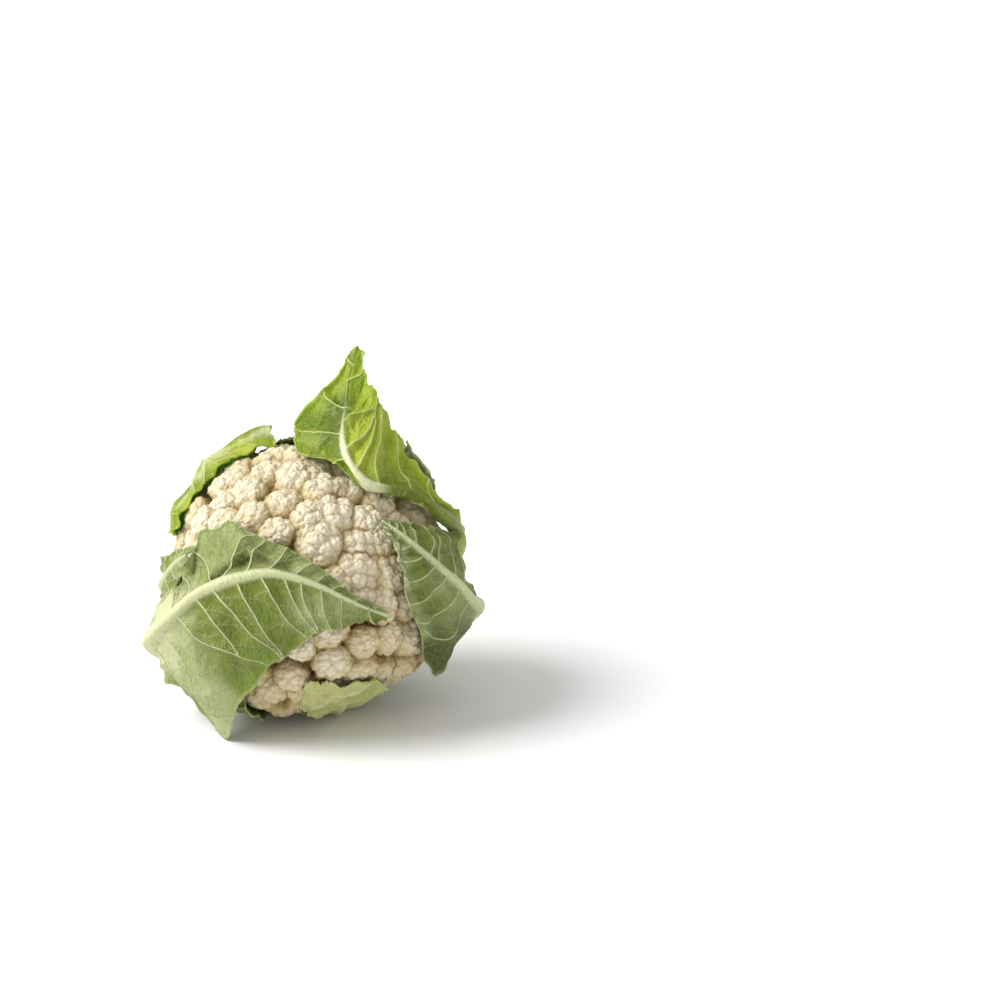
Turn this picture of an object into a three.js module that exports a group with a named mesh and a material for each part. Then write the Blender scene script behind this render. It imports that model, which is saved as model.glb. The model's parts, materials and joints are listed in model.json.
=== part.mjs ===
// A cauliflower lying on a table: a white curd on a short cut stalk, wrapped in ten jacket leaves.
// Millimetres, +Z up. The origin is on the table, under the middle of the bounding box.
//
// The head is shaped upright and then laid down. Upright, its axis is +Z, from the stalk's cut end to
// the top of the curd, and a place on it is written [around, down, lift]. Around is the bearing about
// the axis in degrees, 0 at the side that ends uppermost and 90 at the right. Down is the angle from
// the top of the curd, seen from its centre. Lift is the height above the curd's envelope.
import * as THREE from "three";
import { mergeVertices } from "three/addons/utils/BufferGeometryUtils.js";

// The curd is an ellipsoid, blunter below its widest ring than above it.
const CURD_RADIUS = 80;
const CURD_TOP = 75;
const CURD_UNDER = 58;
const CURD_CENTRE = 80; // height of the widest ring above the cut end
const TUCK = 0.06; // share by which the underside draws in
const TUCK_FROM = 98; // degrees down
const TUCK_TO = 118;

// Florets, and the buds on each of them, follow the golden angle.
const GOLDEN = Math.PI * (3 - Math.sqrt(5));
const FLORETS = 140;
const FLORET_LIMIT = 114; // degrees down to the last one
const FLORET_RADIUS = [11.4, 14.4];
const FLORET_STRAY = [3.5, 6]; // degrees down and around
const FLORET_SINK = 2; // how much lower than the others a floret may sit
const BUDS = 14;
const BUD_LIMIT = 84; // degrees from a floret's own top
const BUD_SHARE = 0.38; // of the floret's radius
const CORE_DEPTH = 17; // from the envelope to the flesh between florets
const UNDERSIDE_DEPTH = 6;
const CURD_DETAIL = 18;
const CURD_DENSER = 0.4; // how far the facets crowd towards the top

// The stalk.
const STALK_RADIUS = 18.5;
const STALK_BEVEL = 1.5;
const STALK_SIDES = 32;
const STALK_GAP = 0.5;

// Where leaves press the curd in: around and down of the middle, depth, and half-width in degrees.
const PRESSED = [[272, 78, 4, 34], [164, 96, 8, 34], [218, 108, 3, 26]];

// How the head lies.
const AXIS_RISE = 45; // degrees
const AXIS_YAW = 5;
const CENTRE_ABOVE_TABLE = 70.4;

// Leaves: a blade with a rib that stands out from its outer face.
const BLADE = 1.1;
const LEAST_LIFT = 1.6; // above the pressed curd
const LEAF_GAP = 1;
const RIB_HALF = [4.6, 1.2]; // at the base and at the tip
const RIB_HEIGHT = [5, 0.5];
const RIB_FILL = 0.7;
const NOTCH = 1.2; // how far the cut edge goes in and out

const rad = THREE.MathUtils.degToRad;
const lerp = THREE.MathUtils.lerp;
const centre = new THREE.Vector3(0, 0, CURD_CENTRE);
const laidDown = new THREE.Matrix4()
  .makeTranslation(0, 0, CENTRE_ABOVE_TABLE)
  .multiply(new THREE.Matrix4().makeRotationFromEuler(new THREE.Euler(rad(AXIS_RISE), 0, rad(AXIS_YAW), "ZYX")))
  .multiply(new THREE.Matrix4().makeTranslation(0, 0, -CURD_CENTRE));

// The same number from 0 to 1 each time, for a whole number.
function chance(n) {
  const wave = Math.sin(n * 127.1 + 311.7) * 43758.5453;
  return wave - Math.floor(wave);
}

function direction(around, down) {
  const out = Math.sin(down);
  return new THREE.Vector3(Math.sin(around) * out, Math.cos(around) * out, Math.cos(down));
}

function downOf(dir) {
  return Math.acos(THREE.MathUtils.clamp(dir.z, -1, 1));
}

// Distance from the curd's centre to its envelope.
function envelope(down) {
  const height = Math.cos(down) >= 0 ? CURD_TOP : CURD_UNDER;
  const reach = 1 / Math.hypot(Math.sin(down) / CURD_RADIUS, Math.cos(down) / height);
  return reach * (1 - TUCK * THREE.MathUtils.smoothstep(down, rad(TUCK_FROM), rad(TUCK_TO)));
}

// The same, with the places that leaves press in.
function roof(dir) {
  let reach = envelope(downOf(dir));
  for (const [around, down, depth, wide] of PRESSED) {
    const away = dir.angleTo(direction(rad(around), rad(down)));
    reach -= depth * (1 - THREE.MathUtils.smoothstep(away, rad(wide * 0.35), rad(wide)));
  }
  return reach;
}

function atLift(dir, lift) {
  return dir.clone().multiplyScalar(envelope(downOf(dir)) + lift).add(centre);
}

// A direction that leans from another one, as on a small globe round it.
function leaning(pole, angle, turn) {
  const side = new THREE.Vector3(0, 0, 1).cross(pole);
  if (side.length() < 0.01) side.set(1, 0, 0);
  side.normalize();
  const front = pole.clone().cross(side);
  return pole.clone().multiplyScalar(Math.cos(angle))
    .addScaledVector(side, Math.sin(angle) * Math.cos(turn))
    .addScaledVector(front, Math.sin(angle) * Math.sin(turn));
}

// Angles of the nth of many places spread evenly over a cap.
function spiral(n, count, limit) {
  const share = (n + 0.5) / count;
  return { angle: Math.acos(1 - share * (1 - Math.cos(limit))), turn: n * GOLDEN };
}

// The spheres that the curd's surface is made of, about its centre.
function curdSpheres() {
  const spheres = [];
  for (let f = 0; f < FLORETS; f += 1) {
    const place = spiral(f, FLORETS, rad(FLORET_LIMIT));
    const down = place.angle + rad(FLORET_STRAY[0]) * (chance(f) - 0.5);
    const pole = direction(place.turn + rad(FLORET_STRAY[1]) * (chance(f + 500) - 0.5), down);
    const radius = lerp(FLORET_RADIUS[0], FLORET_RADIUS[1], chance(f + 1000));
    const middle = pole.clone().multiplyScalar(roof(pole) - radius - FLORET_SINK * chance(f + 1500));
    const bud = radius * BUD_SHARE;
    spheres.push({ middle, radius: radius - 0.55 * bud });
    for (let b = 0; b < BUDS; b += 1) {
      const seat = spiral(b, BUDS, rad(BUD_LIMIT));
      const lean = leaning(pole, seat.angle, seat.turn + 6.28 * chance(f + 2000));
      const size = bud * (0.86 + 0.28 * chance(f * 31 + b + 3000));
      spheres.push({ middle: middle.clone().addScaledVector(lean, radius - size), radius: size });
    }
  }
  return spheres;
}

// Where a ray from the curd's centre leaves the curd.
function curdReach(dir, spheres) {
  const down = downOf(dir);
  const under = THREE.MathUtils.smoothstep(down, rad(FLORET_LIMIT), rad(FLORET_LIMIT + 12));
  const most = roof(dir);
  let reach = most - lerp(CORE_DEPTH, UNDERSIDE_DEPTH, under);
  for (const { middle, radius } of spheres) {
    const along = middle.dot(dir);
    const square = along * along - middle.lengthSq() + radius * radius;
    if (square > 0) reach = Math.max(reach, along + Math.sqrt(square));
  }
  return Math.min(reach, most);
}

function curdGeometry() {
  const ball = new THREE.IcosahedronGeometry(1, CURD_DETAIL);
  ball.deleteAttribute("normal");
  ball.deleteAttribute("uv");
  const geometry = mergeVertices(ball, 1e-5);
  const spheres = curdSpheres();
  const place = geometry.attributes.position;
  const point = new THREE.Vector3();
  for (let v = 0; v < place.count; v += 1) {
    point.fromBufferAttribute(place, v).normalize();
    const angle = downOf(point);
    const down = angle - CURD_DENSER * Math.sin(angle) * Math.sin(angle / 2) ** 2;
    const dir = direction(Math.atan2(point.x, point.y), down);
    point.copy(dir).multiplyScalar(curdReach(dir, spheres)).add(centre);
    place.setXYZ(v, point.x, point.y, point.z);
  }
  return geometry;
}

// The stalk, turned about the axis, hollowed at the top to sit under the curd.
function stalkGeometry() {
  const profile = [[0, 0], [STALK_RADIUS - STALK_BEVEL, 0], [STALK_RADIUS, STALK_BEVEL]];
  for (const out of [1, 0.7, 0.35, 0]) {
    const radius = STALK_RADIUS * out;
    let down = Math.PI;
    for (let turn = 0; turn < 20; turn += 1) {
      down = Math.PI - Math.asin(radius / (envelope(down) - UNDERSIDE_DEPTH + STALK_GAP));
    }
    const reach = envelope(down) - UNDERSIDE_DEPTH + STALK_GAP;
    profile.push([radius, CURD_CENTRE + reach * Math.cos(down)]);
  }
  const turned = new THREE.LatheGeometry(profile.map((p) => new THREE.Vector2(...p)), STALK_SIDES);
  turned.deleteAttribute("normal");
  turned.deleteAttribute("uv");
  turned.rotateX(Math.PI / 2);
  return mergeVertices(turned, 1e-4);
}

// Leaves are laid one over another. Each is a list of stations from base to tip: the spine, the edge
// on the side where around grows, the edge on the other side, and how far the blade bulges between
// them. An edge given as one number is that many millimetres of blade beside the spine.
const FOOT = 165;
const NECK = 158;
const LEAVES = [
  {
    name: "leaf_left_lobe", rows: 16, steps: 3, ruffle: 0.6, color: "#94a860",
    stations: [
      [[280, FOOT, 23], 5.2, 5.2], [[280, NECK, 14], 7, 7], [[280, 138, 7], 13, 13], [[276, 115, 3], 22, 22],
      [[272, 95, 0], [286, 96, 1], [257, 96, 1]], [[270, 76, -1], [276, 73, 0], [259, 79, 0]],
      [[269, 63, 1], [274, 62, 1], [262, 63, 1]], [[268, 54, 3], [271, 49, 3], [265, 53, 3]],
    ],
  },
  {
    name: "leaf_beneath", rows: 18, steps: 3, ruffle: 0.4, color: "#c6cf98",
    stations: [
      [[170, FOOT, 23], 5.2, 5.2], [[170, NECK, 14], 8, 8], [[169, 138, 8], 18, 18], [[168, 120, 5], 20, 26],
      [[167, 101, -6], [180, 101, -3], [148, 102, -4]], [[166, 84, -5], [183, 84, 0], [147, 88, -2]],
      [[168, 69, 1], [184, 62, 3], [154, 72, 2]],
    ],
  },
  {
    name: "leaf_lower_left", rows: 14, steps: 3, ruffle: 0.5, color: "#b4c06a",
    stations: [
      [[212, FOOT, 23], 5.2, 5.2], [[212, NECK, 14], 7, 7], [[212, 138, 8], 14, 14], [[213, 118, 4], 21, 18],
      [[216, 101, 2], [233, 101, 3], [201, 100, 1]], [[216, 89, 2], [228, 90, 3], [205, 90, 2]],
      [[214, 79, 3], [218, 79, 3], [209, 79, 3]],
    ],
  },
  {
    name: "leaf_lower_right", rows: 13, steps: 3, ruffle: 0.6, color: "#9cae66",
    stations: [
      [[135, FOOT, 23], 5.2, 5.2], [[135, NECK, 14], 7, 7], [[135, 144, 8], 13, 13], [[135, 131, 6], 17, 15],
      [[136, 121, 3], [149, 123, 3], [122, 120, 3]], [[137, 115, 2], [143, 116, 2], [130, 114, 2]],
    ],
  },
  {
    name: "leaf_back", rows: 14, steps: 3, ruffle: 1, color: "#8fa55c",
    stations: [
      [[355, FOOT, 23], 5.2, 5.2], [[355, NECK, 14], 7, 7], [[355, 138, 8], 14, 14], [[355, 117, 5], 20, 20],
      [[355, 99, 3], [7, 99, 4], [343, 101, 3]], [[355, 82, 1], [2, 82, 1], [347, 84, 1]],
      [[354, 67, 1], [356, 66, 4], [351, 68, 4]],
    ],
  },
  {
    name: "leaf_top", rows: 32, steps: 4, ruffle: 1.2, color: "#6f9c26",
    stations: [
      [[68, FOOT, 23], 5.2, 5.2], [[68, NECK, 14], 7, 7], [[70, 138, 9], 13, 13], [[75, 114, 9], 17, 17],
      [[76, 95, 8], [81, 94, 6], [71, 94, 12]], [[74, 77, 7], [76, 77, 4], [71, 78, 12]],
      [[71, 58, 6], [72, 56, 4], [64, 66, 11]], [[65, 46, 6], [65, 43, 4], [51, 59, 12]],
      [[61, 36, 7], [60, 33, 4], [44, 58, 14]], [[53, 29, 8], [50, 27, 5], [37, 58, 19]],
      [[37, 29, 10], [20, 31, 7], [31, 57, 25]], [[23, 37, 13], [358, 33, 6], [26, 58, 31]],
      [[18, 46, 17], [355, 50, 9], [23, 59, 36]], [[16, 56, 26], [1, 58, 21], [20, 60, 41]],
      [[15, 61, 39], [10, 62, 34], [18, 61, 46]], [[15, 64, 55], [14, 64, 54], [16, 64, 55]],
    ],
  },
  {
    name: "leaf_front_left", rows: 30, steps: 4, ruffle: 0.8, color: "#8ba263",
    stations: [
      [[250, FOOT, 23], 5.2, 5.2], [[250, NECK, 15], 7, 7], [[250, 135, 12], 13, 13], [[250, 112, 13], 20, 20],
      [[250, 92, 13], [258, 93, 8], [239, 103, 16]], [[246, 72, 13], [256, 68, 8], [231, 100, 10]],
      [[244, 60, 13], [256, 57, 7], [220, 99, 14], -4], [[243, 49, 12], [263, 50, 7], [209, 98, 20], -5],
      [[239, 39, 11], [274, 45, 6], [207, 79, 10], -4], [[232, 31, 10], [277, 38, 6], [203, 68, 8], -2],
      [[218, 24, 9], [278, 30, 6], [199, 58, 7]], [[196, 22, 8], [256, 19, 6], [191, 51, 6]],
      [[172, 25, 7], [214, 13, 6], [179, 43, 6]], [[156, 32, 6], [167, 19, 6], [162, 42, 6]],
      [[145, 40, 5], [150, 32, 6], [149, 45, 6]], [[138, 47, 5], [136, 46, 5], [140, 49, 5]],
    ],
  },
  {
    name: "leaf_right", rows: 28, steps: 4, ruffle: 0.8, color: "#7e9858",
    stations: [
      [[100, FOOT, 23], 5.2, 5.2], [[100, NECK, 15], 7, 7], [[100, 135, 12], 12, 12], [[100, 112, 15], 16, 16],
      [[100, 92, 15], [105, 92, 14], [97, 89, 13]], [[104, 75, 13], [112, 91, 12], [95, 87, 11]],
      [[104, 64, 12], [123, 90, 11], [91, 88, 9]], [[103, 55, 10], [130, 89, 12], [85, 84, 7]],
      [[101, 49, 9], [132, 83, 6], [80, 81, 6]], [[98, 42, 8], [130, 67, 6], [78, 77, 6]],
      [[95, 38, 7], [126, 53, 6], [82, 58, 6]], [[91, 34, 6], [120, 44, 6], [83, 47, 6]],
      [[87, 31, 5], [108, 38, 6], [84, 39, 6]], [[84, 29, 5], [90, 30, 5], [82, 31, 5]],
    ],
  },
  {
    name: "leaf_upper_left", rows: 20, steps: 4, ruffle: 0.6, color: "#7d9c33",
    stations: [
      [[320, FOOT, 23], 5.2, 5.2], [[320, NECK, 15], 7, 7], [[320, 138, 10], 14, 14], [[320, 116, 11], 22, 22],
      [[320, 100, 9], [340, 99, 8], [297, 101, 3]], [[320, 84, 8], [346, 82, 12], [292, 88, 2]],
      [[320, 72, 8], [348, 69, 11], [290, 79, 3]], [[321, 64, 2], [346, 59, 2], [289, 72, 2]],
    ],
  },
  {
    name: "leaf_behind", rows: 18, steps: 4, ruffle: 1, color: "#9fb08a",
    stations: [
      [[38, FOOT, 23], 5.2, 5.2], [[38, NECK, 15], 7, 7], [[38, 138, 10], 13, 13], [[40, 117, 13], 20, 20],
      [[46, 98, 12], [61, 97, 6], [30, 98, 12]], [[49, 86, 13], [61, 86, 6], [35, 84, 15]],
      [[48, 74, 12], [58, 77, 7], [40, 69, 16]],
    ],
  },
];

// The point on a station's edge.
function edgePoint(spine, edge, sign) {
  if (Array.isArray(edge)) return edge;
  const [around, down, lift] = spine;
  const out = (envelope(rad(down)) + lift) * Math.sin(rad(down));
  return [around + sign * THREE.MathUtils.radToDeg(edge / out), down, lift];
}

function headPoint([around, down, lift]) {
  return atLift(direction(rad(around), rad(down)), lift);
}

// The farthest that any laid triangle reaches along a ray from the curd's centre.
function coverReach(dir, laid) {
  const ray = new THREE.Ray(centre, dir);
  const hit = new THREE.Vector3();
  let reach = 0;
  for (const [a, b, c, pole, spread] of laid) {
    if (pole.dot(dir) < spread) continue;
    if (ray.intersectTriangle(a, b, c, false, hit)) reach = Math.max(reach, hit.distanceTo(centre));
  }
  return reach;
}

// The middle surface of a blade as rows of points from edge to edge, laid over what is there already.
function bladeRows({ rows, steps, ruffle, stations }, laid) {
  const lines = [0, 1, -1].map((side) => new THREE.CatmullRomCurve3(stations.map(([spine, grow, shrink]) => {
    if (side === 0) return headPoint(spine);
    return headPoint(edgePoint(spine, side === 1 ? grow : shrink, side));
  })));
  const grid = [];
  for (let r = 0; r <= rows; r += 1) {
    const t = r / rows;
    const at = t * (stations.length - 1);
    const first = Math.min(Math.floor(at), stations.length - 2);
    const bulge = lerp(stations[first][3] ?? 0, stations[first + 1][3] ?? 0, at - first);
    const [spine, grow, shrink] = lines.map((line) => line.getPoint(t).sub(centre));
    const half = lerp(RIB_HALF[0], RIB_HALF[1], t);
    const row = [];
    for (const [edge, side] of [[grow, 1], [shrink, -1]]) {
      const notch = NOTCH * Math.min(1, 3 * t) * (2 * chance(r + 50 * side) - 1);
      const wide = Math.max(spine.distanceTo(edge) + notch, half + 0.3);
      const span = Math.max(spine.distanceTo(edge), half + 0.3);
      const marks = [half / 2, half];
      for (let k = 1; k <= steps; k += 1) marks.push(lerp(half, wide, k / steps));
      const points = marks.map((mark) => {
        const f = mark / span;
        const dir = spine.clone().normalize().lerp(edge.clone().normalize(), f).normalize();
        const lifts = [spine, edge].map((p) => p.length() - envelope(downOf(p.clone().normalize())));
        const wave = ruffle * f * f * Math.sin(r * 1.9 + side * 1.3) * Math.min(1, t * 2);
        const lift = lerp(lifts[0], lifts[1], f) + wave + (side === 1 ? bulge * Math.sin(Math.PI * f) : 0);
        return atLift(dir, Math.max(lift, roof(dir) - envelope(downOf(dir)) + LEAST_LIFT));
      });
      if (side === 1) row.push(...points.reverse(), spine.clone().add(centre));
      else row.push(...points);
    }
    grid.push(row);
  }
  const need = grid.map((row) => row.map((point) => {
    const dir = point.clone().sub(centre).normalize();
    const looks = [dir];
    for (let k = 0; k < 6; k += 1) looks.push(leaning(dir, rad(3), k * Math.PI / 3));
    return Math.max(...looks.map((look) => coverReach(look, laid)));
  }));
  return grid.map((row, r) => row.map((point, c) => {
    const out = point.clone().sub(centre);
    const least = need[r][c] > 0 ? need[r][c] + BLADE / 2 + LEAF_GAP : 0;
    return out.setLength(Math.max(out.length(), least)).add(centre);
  }));
}

function leafGeometry(leaf, laid) {
  const grid = bladeRows(leaf, laid);
  const rows = grid.length - 1;
  const columns = grid[0].length - 1;
  const middle = columns / 2;
  const faces = { outer: [], inner: [] };
  for (let r = 0; r <= rows; r += 1) {
    const height = lerp(RIB_HEIGHT[0], RIB_HEIGHT[1], Math.sqrt(r / rows));
    for (let c = 0; c <= columns; c += 1) {
      const along = grid[Math.min(r + 1, rows)][c].clone().sub(grid[Math.max(r - 1, 0)][c]);
      const across = grid[r][Math.min(c + 1, columns)].clone().sub(grid[r][Math.max(c - 1, 0)]);
      const normal = across.cross(along).normalize();
      const off = Math.abs(c - middle);
      const rib = off === 0 ? height : off === 1 ? height * RIB_FILL : 0;
      faces.outer.push(grid[r][c].clone().addScaledVector(normal, BLADE / 2 + rib));
      faces.inner.push(grid[r][c].clone().addScaledVector(normal, -BLADE / 2));
    }
  }
  const count = faces.outer.length;
  const index = [];
  const id = (r, c) => r * (columns + 1) + c;
  for (let r = 0; r < rows; r += 1) {
    for (let c = 0; c < columns; c += 1) {
      const corners = [id(r, c), id(r, c + 1), id(r + 1, c + 1), id(r + 1, c)];
      const cut = c < middle ? [[0, 1, 2], [0, 2, 3]] : [[0, 1, 3], [1, 2, 3]];
      for (const [i, j, k] of cut) {
        index.push(corners[i], corners[j], corners[k]);
        index.push(corners[i] + count, corners[k] + count, corners[j] + count);
      }
    }
  }
  const rim = [];
  for (let c = 0; c < columns; c += 1) rim.push(id(0, c));
  for (let r = 0; r < rows; r += 1) rim.push(id(r, columns));
  for (let c = columns; c > 0; c -= 1) rim.push(id(rows, c));
  for (let r = rows; r > 0; r -= 1) rim.push(id(r, 0));
  rim.forEach((from, n) => {
    const to = rim[(n + 1) % rim.length];
    index.push(to, from, from + count, to, from + count, to + count);
  });
  const points = [...faces.outer, ...faces.inner];
  const geometry = new THREE.BufferGeometry().setFromPoints(points);
  geometry.setIndex(index);
  for (let i = 0; i < index.length; i += 3) {
    const [a, b, c] = [0, 1, 2].map((k) => points[index[i + k]]);
    const pole = a.clone().add(b).add(c).divideScalar(3).sub(centre).normalize();
    const spread = Math.min(...[a, b, c].map((p) => p.clone().sub(centre).normalize().dot(pole)));
    laid.push([a, b, c, pole, spread - 1e-6]);
  }
  return geometry;
}

// Lays a piece down and presses it flat where it meets the table.
function onTable(geometry) {
  geometry.applyMatrix4(laidDown);
  const place = geometry.attributes.position;
  const layer = place.count / 2;
  for (let v = 0; v < place.count; v += 1) {
    const least = geometry.userData.leaf && v >= layer ? BLADE : 0;
    place.setZ(v, Math.max(place.getZ(v), least));
  }
  return geometry;
}

const part = new THREE.Group();
part.name = "cauliflower";

function addPiece(name, geometry, color) {
  const mesh = new THREE.Mesh(onTable(geometry), new THREE.MeshStandardMaterial({ color, roughness: 0.6 }));
  mesh.name = name;
  part.add(mesh);
}

addPiece("curd", curdGeometry(), "#e9dfc8");
addPiece("stalk", stalkGeometry(), "#d5dcae");
const laid = [];
for (const leaf of LEAVES) {
  const geometry = leafGeometry(leaf, laid);
  geometry.userData.leaf = true;
  addPiece(leaf.name, geometry, leaf.color);
}

const box = new THREE.Box3().setFromObject(part);
const shift = box.getCenter(new THREE.Vector3()).setZ(box.min.z).negate();
for (const mesh of part.children) {
  mesh.geometry.translate(shift.x, shift.y, shift.z);
  mesh.geometry.computeVertexNormals();
}

export default part;
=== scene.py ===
"""A cauliflower lying on a table, with its jacket leaves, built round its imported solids.

The head is shaped upright about its own axis and then laid down, as the solids are. A place on it is
written (around, down, lift): around is the bearing about the axis in degrees, 0 at the side that ends
uppermost, down is the angle from the top of the curd, and lift is the height in millimetres above the
curd's envelope. Shapes are worked out in millimetres and become metres when they are laid down.
"""

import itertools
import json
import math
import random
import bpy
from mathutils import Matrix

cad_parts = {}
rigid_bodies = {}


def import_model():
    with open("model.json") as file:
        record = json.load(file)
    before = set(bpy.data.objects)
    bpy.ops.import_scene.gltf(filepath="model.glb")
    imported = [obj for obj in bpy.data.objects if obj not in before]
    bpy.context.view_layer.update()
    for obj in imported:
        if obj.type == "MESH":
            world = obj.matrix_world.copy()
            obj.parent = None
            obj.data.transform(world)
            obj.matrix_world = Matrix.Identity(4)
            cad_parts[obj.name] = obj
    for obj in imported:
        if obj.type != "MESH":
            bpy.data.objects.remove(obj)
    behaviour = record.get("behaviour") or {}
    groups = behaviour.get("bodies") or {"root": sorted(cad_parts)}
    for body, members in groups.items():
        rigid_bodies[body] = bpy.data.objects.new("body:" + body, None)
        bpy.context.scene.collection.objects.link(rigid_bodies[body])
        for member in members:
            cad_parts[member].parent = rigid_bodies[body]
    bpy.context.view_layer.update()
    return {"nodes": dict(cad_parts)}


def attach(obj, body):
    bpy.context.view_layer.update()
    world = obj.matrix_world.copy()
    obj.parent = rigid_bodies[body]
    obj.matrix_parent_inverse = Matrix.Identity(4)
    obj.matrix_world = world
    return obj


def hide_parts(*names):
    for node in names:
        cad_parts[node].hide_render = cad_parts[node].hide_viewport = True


bl_info = {
    "name": "Cauliflower",
    "version": (1, 0, 0),
    "blender": (4, 5, 0),
    "location": "View3D > Sidebar > Cauliflower",
    "description": "A cauliflower with florets and veined jacket leaves, and the studio that it is seen in",
    "category": "Add Mesh",
}

from typing import NamedTuple

import bpy
import numpy as np
from bpy.props import FloatProperty, FloatVectorProperty, IntProperty, PointerProperty, StringProperty
from bpy.types import Operator, Panel, PropertyGroup
from mathutils import Matrix, Vector
from mathutils.bvhtree import BVHTree
from mathutils.kdtree import KDTree

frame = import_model()

MM = 0.001
HEAD_AT = np.array([-4.43773, 4.14472, 70.39954]) * MM
AXIS_RISE = math.radians(45)
AXIS_YAW = math.radians(5)
LAID = np.array(Matrix.Rotation(AXIS_YAW, 3, "Z") @ Matrix.Rotation(AXIS_RISE, 3, "X"))
GOLDEN = math.pi * (3 - math.sqrt(5))
FULL_TURN = 6.28

# The curd's envelope, in millimetres. It is tucked in underneath, and pressed in where leaves lie on it:
# each row of PRESSED is around, down, depth and the reach in degrees.
CURD_RADIUS = 80
CURD_TOP = 75
CURD_UNDER = 58
CURD_CENTRE = 80
TUCK = 0.06
TUCK_FROM = math.radians(98)
TUCK_TO = math.radians(118)
PRESSED = [(272, 78, 4, 34), (164, 96, 8, 34), (218, 108, 3, 26)]
PRESSED_FLAT = 0.35

# Florets down the head, buds on a floret and bumps on a bud. Strays are down and around.
FLORET_LIMIT = math.radians(114)
FLORET_STRAY = (math.radians(6), math.radians(9))
FLORET_SINK = 2
MORE_SMALL = 1.3
BUD_LIMIT = math.radians(84)
BUD_SHARE = 0.36
BUMP_LIMIT = math.radians(86)
CROWN_TO = math.radians(48)
CORE_DEPTH = 10
UNDERSIDE_DEPTH = 6
UNDERSIDE_WIDE = math.radians(12)
CURD_DENSER = 0.45
CREASE_DEPTH = 2.5

# What varies, as the least and how much more: sizes of buds and of bumps, how far bumps are spread, and how
# small buds are beneath them. A bump's middle lies BUMP_SUNK of its radius below the bud's surface.
BUD_SIZE = (0.78, 0.44)
BUMP_SIZE = (0.35, 0.12)
BUMP_SPREAD = (0.92, 0.16)
BUD_BENEATH = (0.84, 0.1)
BUMP_SUNK = 0.95

# Slow waves over the curd, by which its florets stand looser in some parts than in others.
PATCH_WAVE = np.array([9, -7, 6])
PATCH_SWIRL = np.array([5, 8, -9])
OPEN_LEAST = 0.4
OPEN_MORE = 0.75
WIDE_GAP = 5
WIDE_MOST = 1.3
# From LOW_FROM to LOW_TO the lower side has its florets closed up by LOW_CLOSED and also gets painted shade.
LOW_FROM = math.radians(50)
LOW_TO = math.radians(100)
LOW_CLOSED = 0.4

# The leaves' solids, in millimetres: a blade is laid at least LEAST_LIFT above the curd and LEAF_GAP
# above another leaf. A rib's size is given at the foot and at the tip, and feet lie this far down.
LEAST_LIFT = 1.6
LEAF_GAP = 1
CAD_BLADE = 1.1
RIB_HALF = (4.6, 1.2)
RIB_HEIGHT = (5, 0.5)
RIM = 0.3
NOTCH = 1.2
FOOT = 165
NECK = 158
RUFFLE_TURN = 1.9
RUFFLE_SHIFT = 1.3
TOOTH = 2.3
COARSE_TOOTH = 6

# Rays that look for the leaves beneath start this far from the curd's centre, in metres.
FARTHEST = 0.3

# The finest relief of a blade, in millimetres.
PILLOW_REACH = 3.5
DIMPLE = 0.35
DIMPLE_REACH = 1.3
SWAY = 0.9
SWAY_LENGTH = 12
VEIN_FOOT = 0.5

# The finished midrib: its height as a multiple of the solid's, its width at the foot and how much narrower
# it is at the tip, how much narrower where it fades, and how steep its sides are.
RIB_SWELL = 1.5
RIB_WIDE = (1.25, 0.65)
RIB_FADED = 0.7
RIB_REACH = 0.85
RIB_STEEP = 2.4

# The margin of a blade begins at this share of the way to its edge.
MARGIN_FROM = 0.965

# Rings that are inset at the stalk's ends: shares of the bevel, then this many up to the middle. The cut
# sinks by up to CUT_SUNK as it dries, and the upper end by END_SUNK with each ring, both in metres.
RIM_RINGS = (0.03, 0.12, 0.25, 0.3, 0.3)
END_RINGS = 5
CUT_SUNK = 0.0007
END_SUNK = 0.0004

# The picture: where the lights come from, how far the camera looks down, the picture's width in pixels,
# the sensor's in millimetres and the pixel on which the middle of the curd lies.
KEY_FROM = (-1, -0.12, 0.95)
FILL_FROM = (-0.3, -1, 0.9)
LOOK_DOWN = math.radians(20)
PICTURE = 1000
SENSOR = 36
CURD_PIXEL = (307.5, 583.0)


class Leaf(NamedTuple):
    """One jacket leaf. The first four are its solid's, and the rest is how it looks.

    A station is a place on the midrib and then the growing side's edge and the other's, each as a width
    in millimetres or as a place, and last how far the growing side bulges. A width on that side is laid
    towards larger bearings. A place on a blade is (t, f): t is 0 at the foot and 1 at the tip, and f is
    1 at the edge of the growing side, 0 on the rib and -1 at the other edge.
    """

    rows: int
    steps: int
    ruffle: float
    stations: list
    fine: tuple  # cuts along the leaf and across it
    laterals: int  # side veins on each side
    teeth: float  # size of the teeth of its edge
    ragged: float  # how far its end is torn back, in millimetres
    seed: int
    skins: tuple = ("grey", "inside")  # the finish of its outer face and its inner one
    bare: float = -1  # t at which the rib starts to be paler than the blade
    stout: float = 1.1  # width of the rib against the solid's
    bloom: tuple = (0.5, 0.5)  # how grey the growing side is, and the other
    slant: tuple = (1.0, 1.35)  # least and greatest angle between a side vein and the rib
    bend: float = -0.0085  # how a side vein turns, in radians to the millimetre
    fades: tuple = (2, 3)  # from and to which t the rib fades
    quilt: float = 1  # how full the blade is between its veins
    strokes: tuple = ()  # folds and patches, which paint shade and light as well as pale bands: from, to, half-width, paler or darker, how far sunk


def stem(around, lift=14, half=7):
    """The stations of a leaf's foot and neck."""
    return ((around, FOOT, 23), 5.2, 5.2), ((around, NECK, lift), half, half)


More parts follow.
